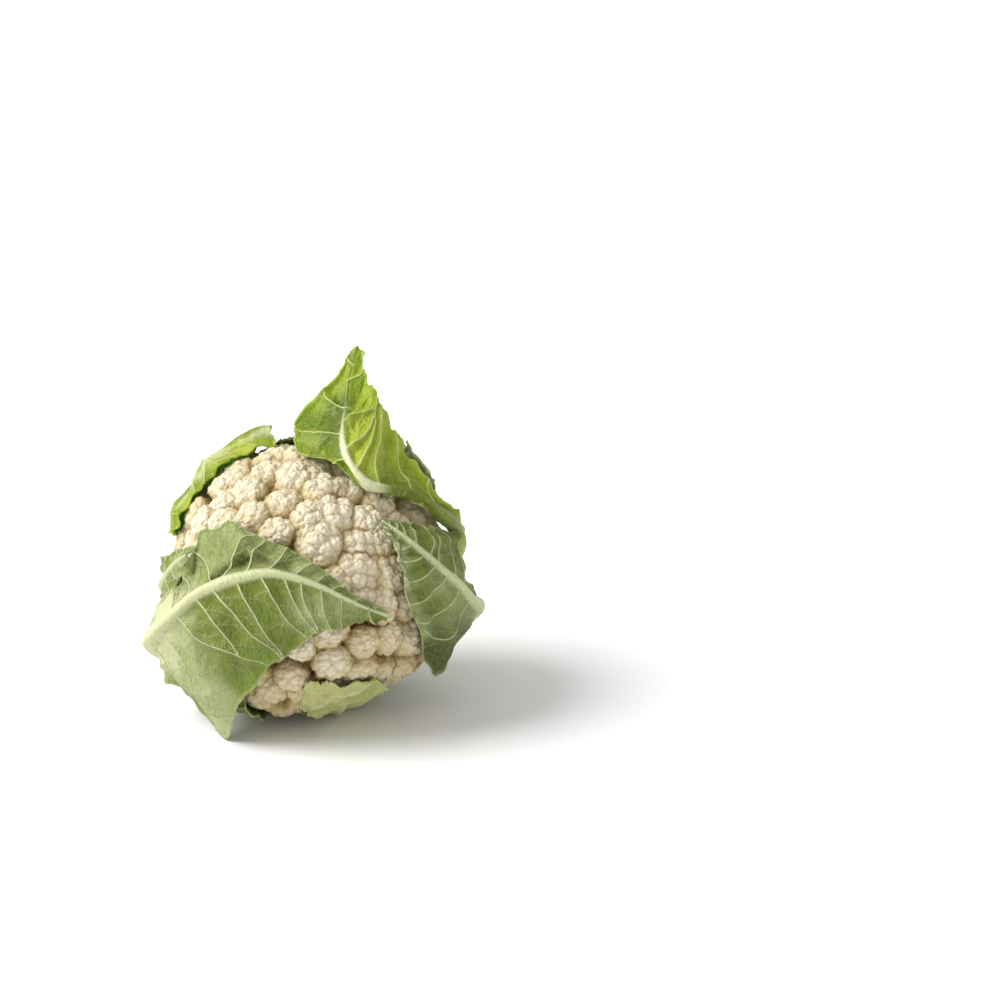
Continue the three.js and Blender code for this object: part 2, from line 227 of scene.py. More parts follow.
# In the order in which they are laid, the innermost first.
LEAVES = {
    "leaf_left_lobe": Leaf(
        16, 3, 0.6,
        [
            *stem(280), ((280, 138, 7), 13, 13), ((276, 115, 3), 22, 22),
            ((272, 95, 0), (286, 96, 1), (257, 96, 1)), ((270, 76, -1), (276, 73, 0), (259, 79, 0)),
            ((269, 63, 1), (274, 62, 1), (262, 63, 1)), ((268, 54, 3), (271, 49, 3), (265, 53, 3)),
        ],
        fine=(92, 46), laterals=9, teeth=1.0, ragged=2, seed=1,
    ),
    "leaf_beneath": Leaf(
        18, 3, 0.4,
        [
            *stem(170, half=8), ((169, 138, 8), 18, 18), ((168, 120, 5), 20, 26),
            ((167, 101, -6), (180, 101, -3), (148, 102, -4)), ((166, 84, -5), (183, 84, 0), (147, 88, -2)),
            ((168, 69, 1), (184, 62, 3), (154, 72, 2)),
        ],
        fine=(100, 60), laterals=7, teeth=1.6, ragged=5, seed=2,
        skins=("pale", "pale"), fades=(0.7, 0.85),
        # Painted highlight along the raised fold, and painted shade in the sunk band below it.
        strokes=[((0.93, -0.7), (0.85, 0.8), 1.6, 0.8, -1.2), ((0.84, -0.7), (0.78, 0.8), 4, -0.25, 1)],
    ),
    "leaf_lower_left": Leaf(
        14, 3, 0.5,
        [
            *stem(212), ((212, 138, 8), 14, 14), ((213, 118, 4), 21, 18),
            ((216, 101, 2), (233, 101, 3), (201, 100, 1)), ((216, 89, 2), (228, 90, 3), (205, 90, 2)),
            ((214, 79, 3), (218, 79, 3), (209, 79, 3)),
        ],
        fine=(84, 46), laterals=7, teeth=0.9, ragged=3, seed=3,
    ),
    "leaf_lower_right": Leaf(
        13, 3, 0.6,
        [
            *stem(135), ((135, 144, 8), 13, 13), ((135, 131, 6), 17, 15),
            ((136, 121, 3), (149, 123, 3), (122, 120, 3)), ((137, 115, 2), (143, 116, 2), (130, 114, 2)),
        ],
        fine=(60, 36), laterals=5, teeth=0.9, ragged=4, seed=4,
    ),
    "leaf_back": Leaf(
        14, 3, 1,
        [
            *stem(355), ((355, 138, 8), 14, 14), ((355, 117, 5), 20, 20),
            ((355, 99, 3), (7, 99, 4), (343, 101, 3)), ((355, 82, 1), (2, 82, 1), (347, 84, 1)),
            ((354, 67, 1), (356, 66, 4), (351, 68, 4)),
        ],
        fine=(90, 44), laterals=8, teeth=2.0, ragged=6, seed=5,
    ),
    "leaf_top": Leaf(
        32, 4, 1.2,
        [
            *stem(68), ((70, 138, 9), 13, 13), ((75, 114, 9), 17, 17),
            ((76, 95, 8), (81, 94, 6), (71, 94, 12)), ((74, 77, 7), (76, 77, 4), (71, 78, 12)),
            ((71, 58, 6), (72, 56, 4), (64, 66, 11)), ((65, 46, 6), (65, 43, 4), (51, 59, 12)),
            ((61, 36, 7), (60, 33, 4), (44, 58, 14)), ((53, 29, 8), (50, 27, 5), (37, 58, 19)),
            ((37, 29, 10), (20, 31, 7), (31, 57, 25)), ((23, 37, 13), (358, 33, 6), (26, 58, 31)),
            ((18, 46, 17), (355, 50, 9), (23, 59, 36)), ((16, 56, 26), (1, 58, 21), (20, 60, 41)),
            ((15, 61, 39), (10, 62, 34), (18, 61, 46)), ((15, 64, 55), (14, 64, 54), (16, 64, 55)),
        ],
        fine=(230, 76), laterals=10, teeth=1.8, ragged=0, seed=6, skins=("lively", "grey"),
        bare=0.56, stout=1.4, quilt=1.25, bloom=(0.5, 0.8), fades=(0.72, 0.88),
        # The first stroke paints shade low on the leaf by its neck; the others darken the lobe, the tip and a
        # sunk band beside the rib.
        strokes=[
            ((0.34, 0.4), (0.5, 0.4), 20, -0.6, 0), ((0.77, 0.75), (0.8, 0.5), 20, -0.4, 1),
            ((0.88, 0), (1, 0), 20, -0.4, 0), ((0.7, 0.12), (0.86, 0.1), 6, -0.3, 1.5),
        ],
    ),
    "leaf_front_left": Leaf(
        30, 4, 0.8,
        [
            *stem(250, 15), ((250, 135, 12), 13, 13), ((250, 112, 13), 20, 20),
            ((250, 92, 13), (258, 93, 8), (239, 103, 16)), ((246, 72, 13), (256, 68, 8), (231, 100, 10)),
            ((244, 60, 13), (256, 57, 7), (220, 99, 14), -4),
            ((243, 49, 12), (263, 50, 7), (209, 98, 20), -5),
            ((239, 39, 11), (274, 45, 6), (207, 79, 10), -4),
            ((232, 31, 10), (277, 38, 6), (203, 68, 8), -2),
            ((218, 24, 9), (278, 30, 6), (199, 58, 7)), ((196, 22, 8), (256, 19, 6), (191, 51, 6)),
            ((172, 25, 7), (214, 13, 6), (179, 43, 6)), ((156, 32, 6), (167, 19, 6), (162, 42, 6)),
            ((145, 40, 5), (150, 32, 6), (149, 45, 6)), ((138, 47, 5), (136, 46, 5), (140, 49, 5)),
        ],
        fine=(230, 110), laterals=15, teeth=1.3, ragged=0, seed=7, stout=1.4, bloom=(0.55, 0.2),
        slant=(1.1, 1.35), bend=0.0005,
        # Painted light: pale strokes on the lit part before the bend, the tip corner and the right part.
        # Painted shade: dark strokes for the fold above the rib, the slit, the shaded side of the bend and
        # the blade above the rib.
        # The pale foot is partly the leaf's own paler base and partly painted light; the pale line above the
        # rib is a vein.
        strokes=[
            ((0.46, 0.15), (0.63, 0.30), 2, -0.9, 2.5), ((0.56, 0.22), (0.72, 0.48), 1.2, 0.5, -0.8),
            ((0.45, 0.76), (0.50, 0.93), 1.3, -1, 1), ((0.47, -0.4), (0.46, -0.85), 12, 0.25, 0),
            ((0.56, -0.3), (0.56, -0.85), 6, -0.4, 1), ((0.50, 0.2), (0.66, 0.42), 7, -0.3, 0),
            ((0.64, 0.3), (0.74, 0.32), 8, -0.45, 0.6), ((0.30, -0.3), (0.34, 0.5), 24, 0.9, 0),
            ((0.49, -1), (0.50, -0.72), 17, 0.45, 0), ((0.78, -0.5), (0.9, -0.1), 14, 0.2, 0),
            ((0.76, -0.5), (0.86, -0.7), 12, 0.22, 0),
        ],
    ),
    "leaf_right": Leaf(
        28, 4, 0.8,
        [
            *stem(100, 15), ((100, 135, 12), 12, 12), ((100, 112, 15), 16, 16),
            ((100, 92, 15), (105, 92, 14), (97, 89, 13)), ((104, 75, 13), (112, 91, 12), (95, 87, 11)),
            ((104, 64, 12), (123, 90, 11), (91, 88, 9)), ((103, 55, 10), (130, 89, 12), (85, 84, 7)),
            ((101, 49, 9), (132, 83, 6), (80, 81, 6)), ((98, 42, 8), (130, 67, 6), (78, 77, 6)),
            ((95, 38, 7), (126, 53, 6), (82, 58, 6)), ((91, 34, 6), (120, 44, 6), (83, 47, 6)),
            ((87, 31, 5), (108, 38, 6), (84, 39, 6)), ((84, 29, 5), (90, 30, 5), (82, 31, 5)),
        ],
        fine=(190, 92), laterals=12, teeth=1.2, ragged=0, seed=8, stout=1.35, bloom=(0.5, 0.45),
        slant=(1.15, 1.45),
        # Painted shade: the dark stroke shades the lower part; the pale one is the margin's own yellow-green
        # band.
        strokes=[((0.60, 0.9), (0.45, 0.9), 24, -1, 0), ((0.93, 0.8), (0.72, 0.97), 5, 0.4, 0)],
    ),
    "leaf_upper_left": Leaf(
        20, 4, 0.6,
        [
            *stem(320, 15), ((320, 138, 10), 14, 14), ((320, 116, 11), 22, 22),
            ((320, 100, 9), (340, 99, 8), (297, 101, 3)), ((320, 84, 8), (346, 82, 12), (292, 88, 2)),
            ((320, 72, 8), (348, 69, 11), (290, 79, 3)), ((321, 64, 2), (346, 59, 2), (289, 72, 2)),
        ],
        fine=(110, 70), laterals=8, teeth=1.8, ragged=3, seed=9,
        skins=("lively", "lively"), fades=(0.7, 0.85), quilt=1.2,
        strokes=[((0.86, -0.6), (0.88, 0.95), 5, 0.55, 0)],
    ),
    "leaf_behind": Leaf(
        18, 4, 1,
        [
            *stem(38, 15), ((38, 138, 10), 13, 13), ((40, 117, 13), 20, 20),
            ((46, 98, 12), (61, 97, 6), (30, 98, 12)), ((49, 86, 13), (61, 86, 6), (35, 84, 15)),
            ((48, 74, 12), (58, 77, 7), (40, 69, 16)),
        ],
        fine=(100, 56), laterals=8, teeth=1.4, ragged=4, seed=10,
    ),
}
SLOTS = {"leaf_beneath": "pale_leaf"}
# Each finish's translucence, and the height of its veins' relief.
SKINS = {"grey": (0.12, 0.0012), "lively": (0.4, 0.0006), "inside": (0.3, 0.0004), "pale": (0.25, 0.0007)}


def chance(n):
    """The same number from 0 to 1 each time, for each whole number. Each use takes numbers of its own."""
    wave = np.sin(np.asarray(n, float) * 127.1 + 311.7) * 43758.5453
    return wave - np.floor(wave)


def some(span, seed):
    """A random amount for each seed: the least one, and up to so much more."""
    return span[0] + span[1] * chance(seed)


def bell(x, reach):
    """1 at 0, about a third at the reach and almost nothing beyond twice the reach."""
    return np.exp(-((x / reach) ** 2))


def beside_line(points, line):
    """Distance of points from a line of several straight pieces."""
    away = np.full(len(points), np.inf)
    for start, end in zip(line[:-1], line[1:]):
        way = end - start
        share = np.clip((points - start) @ way / max(way @ way, 1e-9), 0, 1)
        away = np.minimum(away, np.linalg.norm(points - start - share[:, None] * way, axis=1))
    return away


def smoothstep(x, low, high):
    """From 0 below low to 1 above high, gently at both."""
    share = np.clip((np.asarray(x, float) - low) / (high - low), 0, 1)
    return share * share * (3 - 2 * share)


def ripple(x, seed):
    """A smooth random line from 0 to 1, one bump to each unit of x."""
    x = np.asarray(x, float)
    first = np.floor(x)
    share = x - first
    share = share * share * (3 - 2 * share)
    return chance(first + seed * 97) * (1 - share) + chance(first + 1 + seed * 97) * share


def direction(around, down):
    """Unit vectors in the head's frame."""
    around, down = np.asarray(around, float), np.asarray(down, float)
    return np.stack([np.sin(around) * np.sin(down), np.cos(around) * np.sin(down), np.cos(down)], -1)


def unit(vectors):
    return vectors / np.linalg.norm(vectors, axis=-1, keepdims=True)


def down_of(dirs):
    """Angles from the top of the curd."""
    return np.arccos(np.clip(dirs[..., 2], -1, 1))


def envelope(down):
    """Distance from the curd's centre to its envelope."""
    height = np.where(np.cos(down) >= 0, CURD_TOP, CURD_UNDER)
    reach = 1 / np.hypot(np.sin(down) / CURD_RADIUS, np.cos(down) / height)
    return reach * (1 - TUCK * smoothstep(down, TUCK_FROM, TUCK_TO))


def roof(dirs):
    """The envelope with the places that leaves press in."""
    reach = envelope(down_of(dirs))
    for around, down, depth, wide in PRESSED:
        pole = direction(math.radians(around), math.radians(down))
        away = np.arccos(np.clip(dirs @ pole, -1, 1))
        reach = reach - depth * (1 - smoothstep(away, math.radians(wide * PRESSED_FLAT), math.radians(wide)))
    return reach


def lay_down(points):
    """Points about the curd's centre, in millimetres, as they lie in the row's frame, in metres."""
    return points @ LAID.T * MM + HEAD_AT


def leaning(poles, angle, turn):
    """Directions that lean from each pole, as on a small globe round it."""
    side = np.cross([0.0, 0, 1], poles)
    flat = np.linalg.norm(side, axis=-1, keepdims=True) < 0.01
    side = unit(np.where(flat, [1.0, 0, 0], side))
    front = np.cross(poles, side)
    angle, turn = np.asarray(angle)[..., None], np.asarray(turn)[..., None]
    return np.cos(angle) * poles + np.sin(angle) * (np.cos(turn) * side + np.sin(turn) * front)


def spiral(count, limit):
    """Angles of places spread evenly over a cap."""
    n = np.arange(count)
    share = (n + 0.5) / count
    return np.arccos(1 - share * (1 - math.cos(limit))), n * GOLDEN


def read_points(mesh):
    points = np.empty(len(mesh.vertices) * 3)
    mesh.vertices.foreach_get("co", points)
    return points.reshape(-1, 3)


def write_points(mesh, points):
    mesh.vertices.foreach_set("co", np.asarray(points, np.float32).ravel())
    mesh.update()


def write_attributes(mesh, values):
    for name, value in values.items():
        layer = mesh.attributes.new(name, "FLOAT", "POINT")
        layer.data.foreach_set("value", np.asarray(value, np.float32))


def deselect_parts(mesh):
    for part in (mesh.vertices, mesh.edges, mesh.polygons):
        part.foreach_set("select", np.zeros(len(part), bool))


def point_tree(points):
    tree = KDTree(len(points))
    for index, place in enumerate(points):
        tree.insert(place, index)
    tree.balance()
    return tree


def add(primitive, **settings):
    """Adds a primitive with nothing else selected."""
    bpy.ops.object.select_all(action="DESELECT")
    primitive(**settings)
    return bpy.context.object


def only_select(piece):
    bpy.ops.object.select_all(action="DESELECT")
    piece.select_set(True)
    bpy.context.view_layer.objects.active = piece


def finish_piece(piece, name, slot, node, *finishes):
    """Names a piece, gives it its materials, lets it ride and says which node it replaces."""
    piece.name = name
    piece.data.name = name
    for finish in finishes:
        piece.data.materials.append(finish)
    only_select(piece)
    bpy.ops.object.shade_smooth()
    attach(piece, "root")
    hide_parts(node)


class Recipe:
    """A material's nodes, added one by one."""

    def __init__(self, name):
        self.material = bpy.data.materials.new(name)
        self.material.use_nodes = True
        self.tree = self.material.node_tree
        self.shader = self.tree.nodes["Principled BSDF"]

    def put(self, socket, value):
        if isinstance(value, bpy.types.NodeSocket):
            self.tree.links.new(value, socket)
        elif socket.type == "RGBA":
            socket.default_value = (*value, 1)
        else:
            socket.default_value = value

    def node(self, kind, inputs=None, **settings):
        made = self.tree.nodes.new(kind)
        for key, value in settings.items():
            setattr(made, key, value)
        for key, value in (inputs or {}).items():
            self.put(made.inputs[key], value)
        return made

    def attribute(self, name):
        return self.node("ShaderNodeAttribute", attribute_name=name).outputs["Fac"]

    def mix(self, factor, low, high):
        made = self.node("ShaderNodeMix", data_type="RGBA")
        for index, value in ((0, factor), (6, low), (7, high)):
            self.put(made.inputs[index], value)
        return made.outputs[2]

    def number(self, operation, *values):
        made = self.node("ShaderNodeMath", operation=operation)
        for index, value in enumerate(values):
            self.put(made.inputs[index], value)
        return made.outputs[0]

    def between(self, value, low, high, start=0.0, end=1.0):
        """Value carried from low..high to start..end, smoothly and held at both."""
        inputs = {"Value": value, "From Min": low, "From Max": high, "To Min": start, "To Max": end}
        made = self.node("ShaderNodeMapRange", inputs, interpolation_type="SMOOTHSTEP")
        return made.outputs["Result"]

    def noise(self, where, scale, detail=2.0, rough=0.5):
        inputs = {"Vector": where, "Scale": scale, "Detail": detail, "Roughness": rough}
        return self.node("ShaderNodeTexNoise", inputs).outputs["Fac"]

    def cells(self, where, scale, feature="F1"):
        made = self.node("ShaderNodeTexVoronoi", {"Vector": where, "Scale": scale}, feature=feature)
        return made.outputs["Distance"]

    def bump(self, height, distance, strength=1.0, under=None):
        inputs = {"Height": height, "Distance": distance, "Strength": strength}
        if under is not None:
            inputs["Normal"] = under
        return self.node("ShaderNodeBump", inputs).outputs["Normal"]

    def finish(self, **inputs):
        for key, value in inputs.items():
            self.put(self.shader.inputs[key.replace("_", " ")], value)
        return self.material


def curd_material(looks):
    recipe = Recipe("curd")
    place = recipe.node("ShaderNodeTexCoord").outputs["Object"]
    patchy = recipe.between(recipe.noise(place, 28, 3), 0.35, 0.65)
    top = recipe.mix(patchy, looks.cream, looks.ivory)
    # Painted shade: the hollows between buds are mixed towards the shade colour.
    between_buds = recipe.between(recipe.attribute("hollow"), 0.0, 1.1, 0.6, 0.0)
    shaded_between_buds = recipe.mix(between_buds, top, looks.shade)
    # Painted shade: the deeper a gap between florets, the more its colour goes towards the shade colour; the
    # deepest pockets go towards the groove colour.
    sunk = recipe.between(recipe.attribute("deep"), 1.5, 6.0, 0.0, 0.75)
    # Painted shade: the lower side of the head is mixed up to 0.6 of the way towards the shade colour.
    painted_low_shade = recipe.mix(recipe.between(recipe.attribute("low"), 0.0, 1.0, 0.0, 0.6), shaded_between_buds, looks.shade)
    shaded = recipe.mix(sunk, painted_low_shade, looks.shade)
    # Painted shade: the creases between florets, made patchy by a noise, and the deep pockets take the dark
    # groove colour.
    patchy_crease_shade = recipe.between(recipe.noise(place, 60, 2), 0.35, 0.6, 0.45, 1.0)
    crease = recipe.between(recipe.attribute("crease"), 0.1, 1.8, 1.0, 0.0)
    pocket_shade = recipe.between(recipe.attribute("deep"), 4.5, 8.0, 0.0, 0.9)
    groove_shade_share = recipe.number("MAXIMUM", recipe.number("MULTIPLY", crease, patchy_crease_shade), pocket_shade)
    colour = recipe.mix(groove_shade_share, shaded, looks.groove_shade)
    grain = recipe.cells(place, 1 / looks.grain, "SMOOTH_F1")
    domes = recipe.number("SUBTRACT", 1.0, grain)
    coarse = recipe.bump(domes, 0.0012, 0.85)
    normal = recipe.bump(recipe.noise(place, 2600, 2), 0.00012, 0.6, coarse)
    recipe.shader.inputs["Subsurface Radius"].default_value = (1.0, 0.7, 0.4)
    return recipe.finish(
        Base_Color=colour, Roughness=0.68, Normal=normal, Subsurface_Weight=0.12, Subsurface_Scale=0.0015
    )


def leaf_material(name, skin, looks, translucence, vein_relief):
    """A leaf's finish. Skin is its colour with bloom and without, its veins' and its ribs'."""
    bloom, fresh, vein, rib = skin
    recipe = Recipe(name)
    where = recipe.node("ShaderNodeUVMap", uv_map="along").outputs["UV"]
    place = recipe.node("ShaderNodeTexCoord").outputs["Object"]
    cloudy = recipe.number("ADD", recipe.noise(place, 45, 5), recipe.attribute("bloom"))
    blade = recipe.mix(recipe.between(cloudy, 0.82, 1.18), fresh, bloom)
    # Above 0 it pales the blade towards the rib colour, as painted light on lit parts and as the leaf's own
    # pale bands and veins.
    # The tone paints light and shade. Below 0 it darkens the blade as painted shade of folds, slits and
    # shaded parts.
    tone = recipe.attribute("tone")
    dark = tuple(0.4 * part for part in fresh)
    darker = recipe.mix(recipe.between(tone, -1.0, 0.0, 1.0, 0.0), blade, dark)
    toned = recipe.mix(recipe.between(tone, 0.0, 1.0), darker, rib)
    paler = recipe.mix(recipe.attribute("foot"), toned, rib)
    net = recipe.cells(where, 1 / looks.net, "DISTANCE_TO_EDGE")
    netted = recipe.mix(recipe.between(net, 0.0, 0.06, 0.2, 0.0), paler, vein)
    fine_away = recipe.number("ABSOLUTE", recipe.attribute("fine_vein"))
    side_away = recipe.number("ABSOLUTE", recipe.attribute("side_vein"))
    fine = recipe.between(fine_away, 0.3, 1.5, 0.36, 0.0)
    side = recipe.between(side_away, 0.6, 1.4, 0.95, 0.0)
    beside_rib = recipe.number("SUBTRACT", 1.0, recipe.attribute("covered"))
    drawn = recipe.number("MULTIPLY", recipe.number("MAXIMUM", fine, side), beside_rib)
    veined = recipe.mix(drawn, netted, vein)
    ribbed = recipe.mix(recipe.attribute("rib"), veined, rib)
    edged = recipe.mix(recipe.attribute("margin"), ribbed, vein)
    pillows = recipe.bump(recipe.between(net, 0.0, 0.35), 0.0004, 0.6)
    ridges = recipe.bump(drawn, vein_relief, 0.9, pillows)
    stretched = recipe.node("ShaderNodeMapping", {"Vector": where, "Scale": (0.35, 1, 1)}).outputs["Vector"]
    wrinkled = recipe.bump(recipe.noise(stretched, 420, 3), looks.wrinkle, 0.7, ridges)
    normal = recipe.bump(recipe.noise(place, 1100, 3), 0.0003, 0.5, wrinkled)
    recipe.shader.inputs["Subsurface Radius"].default_value = (0.6, 1.0, 0.15)
    return recipe.finish(
        Base_Color=edged, Roughness=0.52, Normal=normal,
        Subsurface_Weight=translucence, Subsurface_Scale=0.004, Specular_IOR_Level=0.3,
    )


def stalk_material(looks):
    recipe = Recipe("stalk")
    place = recipe.node("ShaderNodeTexCoord").outputs["Object"]
    ring = recipe.between(recipe.attribute("out"), 0.62, 0.8)
    flesh = recipe.mix(ring, looks.pith, looks.rind)
    patches = recipe.between(recipe.noise(place, 260, 3), 0.45, 0.7, 0.0, 0.8)
    dried = recipe.mix(patches, flesh, looks.dry)
    skin = recipe.mix(recipe.noise(place, 90, 3), looks.skin, looks.pith)
    normal = recipe.bump(recipe.noise(place, 900, 4), 0.0004, 0.6)
    colour = recipe.mix(recipe.attribute("cut"), skin, dried)
    return recipe.finish(Base_Color=colour, Roughness=0.6, Normal=normal)


def as_colour(name, description, value):
    texts = dict(name=name, description=description)
    return FloatVectorProperty(**texts, default=value, subtype="COLOR", min=0, max=1)


def as_length(name, description, value):
    return FloatProperty(name=name, description=description, default=value, unit="LENGTH")


def as_share(name, description, value):
    return FloatProperty(name=name, description=description, default=value, min=0, max=1, subtype="FACTOR")


def as_count(name, description, value, least):
    return IntProperty(name=name, description=description, default=value, min=least)


class CurdSettings(PropertyGroup):
    """The white head."""

    florets: as_count("Florets", "Florets on the head", 140, 8)
    buds: as_count("Buds", "Buds on each floret", 16, 4)
    bumps: as_count("Bumps", "Bumps on each bud", 13, 4)
    fineness: as_count("Fineness", "Cuts along each edge, made twice over", 12, 4)
    smallest: as_length("Smallest floret", "Radius", 0.0104)
    largest: as_length("Largest floret", "Radius", 0.0164)
    openness: as_share("Openness", "Share of the gaps' depth", 0.9)
    bump_depth: as_length("Bump depth", "Most between bumps", 0.001)
    bump_share: as_share("Bump relief", "Share of it", 1.0)
    grain: as_length("Grain", "Width of the finest grain", 0.0019)
    cream: as_colour("Cream", "Tops", (0.69, 0.59, 0.40))
    ivory: as_colour("Ivory", "Tops in patches", (0.74, 0.67, 0.51))
    # Shade and groove are painted shade: hollows between buds, gaps and creases between florets, and the
    # lower side.
    shade: as_colour("Shade", "Between buds", (0.50, 0.395, 0.165))
    groove_shade: as_colour("Groove", "Between florets", (0.27, 0.175, 0.06))


class LeafSettings(PropertyGroup):
    """The jacket leaves."""

    blade: as_length("Blade", "Thickness", 0.0009)
    pillow: as_length("Pillows", "Rise between veins", 0.0023)
    vein: as_length("Veins", "Height of side veins", 0.0006)
    wrinkle: as_length("Wrinkles", "Height of the finest", 0.0011)
    net: as_length("Net", "Mesh width of the finest veins", 0.0042)
    grey: as_colour("Outside", "Outer faces with their bloom", (0.29, 0.34, 0.12))
    grey_deep: as_colour("Outside, deep", "Outer faces without it", (0.15, 0.20, 0.019))
    grey_vein: as_colour("Outside, veins", "Side veins of outer faces", (0.50, 0.53, 0.28))
    grey_rib: as_colour("Outside, ribs", "Midribs of outer faces", (0.55, 0.57, 0.32))
    lively: as_colour("Sunlit", "The top leaf and the upper left one", (0.34, 0.41, 0.020))
    lively_deep: as_colour("Sunlit, deep", "The same in patches", (0.14, 0.21, 0.005))
    lively_vein: as_colour("Sunlit, veins", "Their side veins", (0.52, 0.57, 0.19))
    lively_rib: as_colour("Sunlit, ribs", "Their midribs", (0.64, 0.65, 0.40))
    inside: as_colour("Inside", "Inner faces", (0.22, 0.29, 0.026))
    inside_deep: as_colour("Inside, deep", "Inner faces in patches", (0.14, 0.20, 0.010))
    inside_vein: as_colour("Inside, veins", "Side veins of inner faces", (0.39, 0.45, 0.14))
    inside_rib: as_colour("Inside, ribs", "Midribs of inner faces", (0.47, 0.52, 0.24))
    pale: as_colour("Pale", "The blanched leaves", (0.52, 0.52, 0.215))
    pale_deep: as_colour("Pale, deep", "The same in patches", (0.39, 0.42, 0.12))
    pale_vein: as_colour("Pale, veins", "Their side veins", (0.58, 0.59, 0.33))
    pale_rib: as_colour("Pale, ribs", "Their midribs", (0.58, 0.59, 0.33))


class StalkSettings(PropertyGroup):
    """The cut stalk."""

    radius: as_length("Radius", "Radius", 0.0185)
    top: as_length("Top", "From the curd's centre down to its upper end", 0.047)
    bevel: as_length("Bevel", "Rounding of the cut end", 0.0015)
    skin: as_colour("Skin", "Side", (0.43, 0.50, 0.26))
    pith: as_colour("Pith", "Middle of the cut", (0.62, 0.62, 0.43))
    rind: as_colour("Rind", "Ring of the cut", (0.48, 0.53, 0.29))
    dry: as_colour("Dry", "Where the cut has dried", (0.43, 0.33, 0.17))


class StageSettings(PropertyGroup):
    """The floor, the lights and the camera."""

    floor: as_colour("Floor", "Floor", (0.94, 0.94, 0.94))
    floor_size: as_length("Floor size", "Across", 30.0)
    key: FloatProperty(name="Key light", description="Strength, from the upper left", default=3.5, min=0)
    fill: FloatProperty(name="Fill light", description="Strength, from the front", default=0.2, min=0)
    softness: FloatProperty(name="Softness", description="Key light's width", default=0.7, unit="ROTATION")
    sky: FloatProperty(name="Sky", description="Strength of the white surroundings", default=0.56, min=0)
    distance: as_length("Camera distance", "From the curd", 1.847)
    lens: FloatProperty(name="Lens", description="Focal length in millimetres", default=120.0)


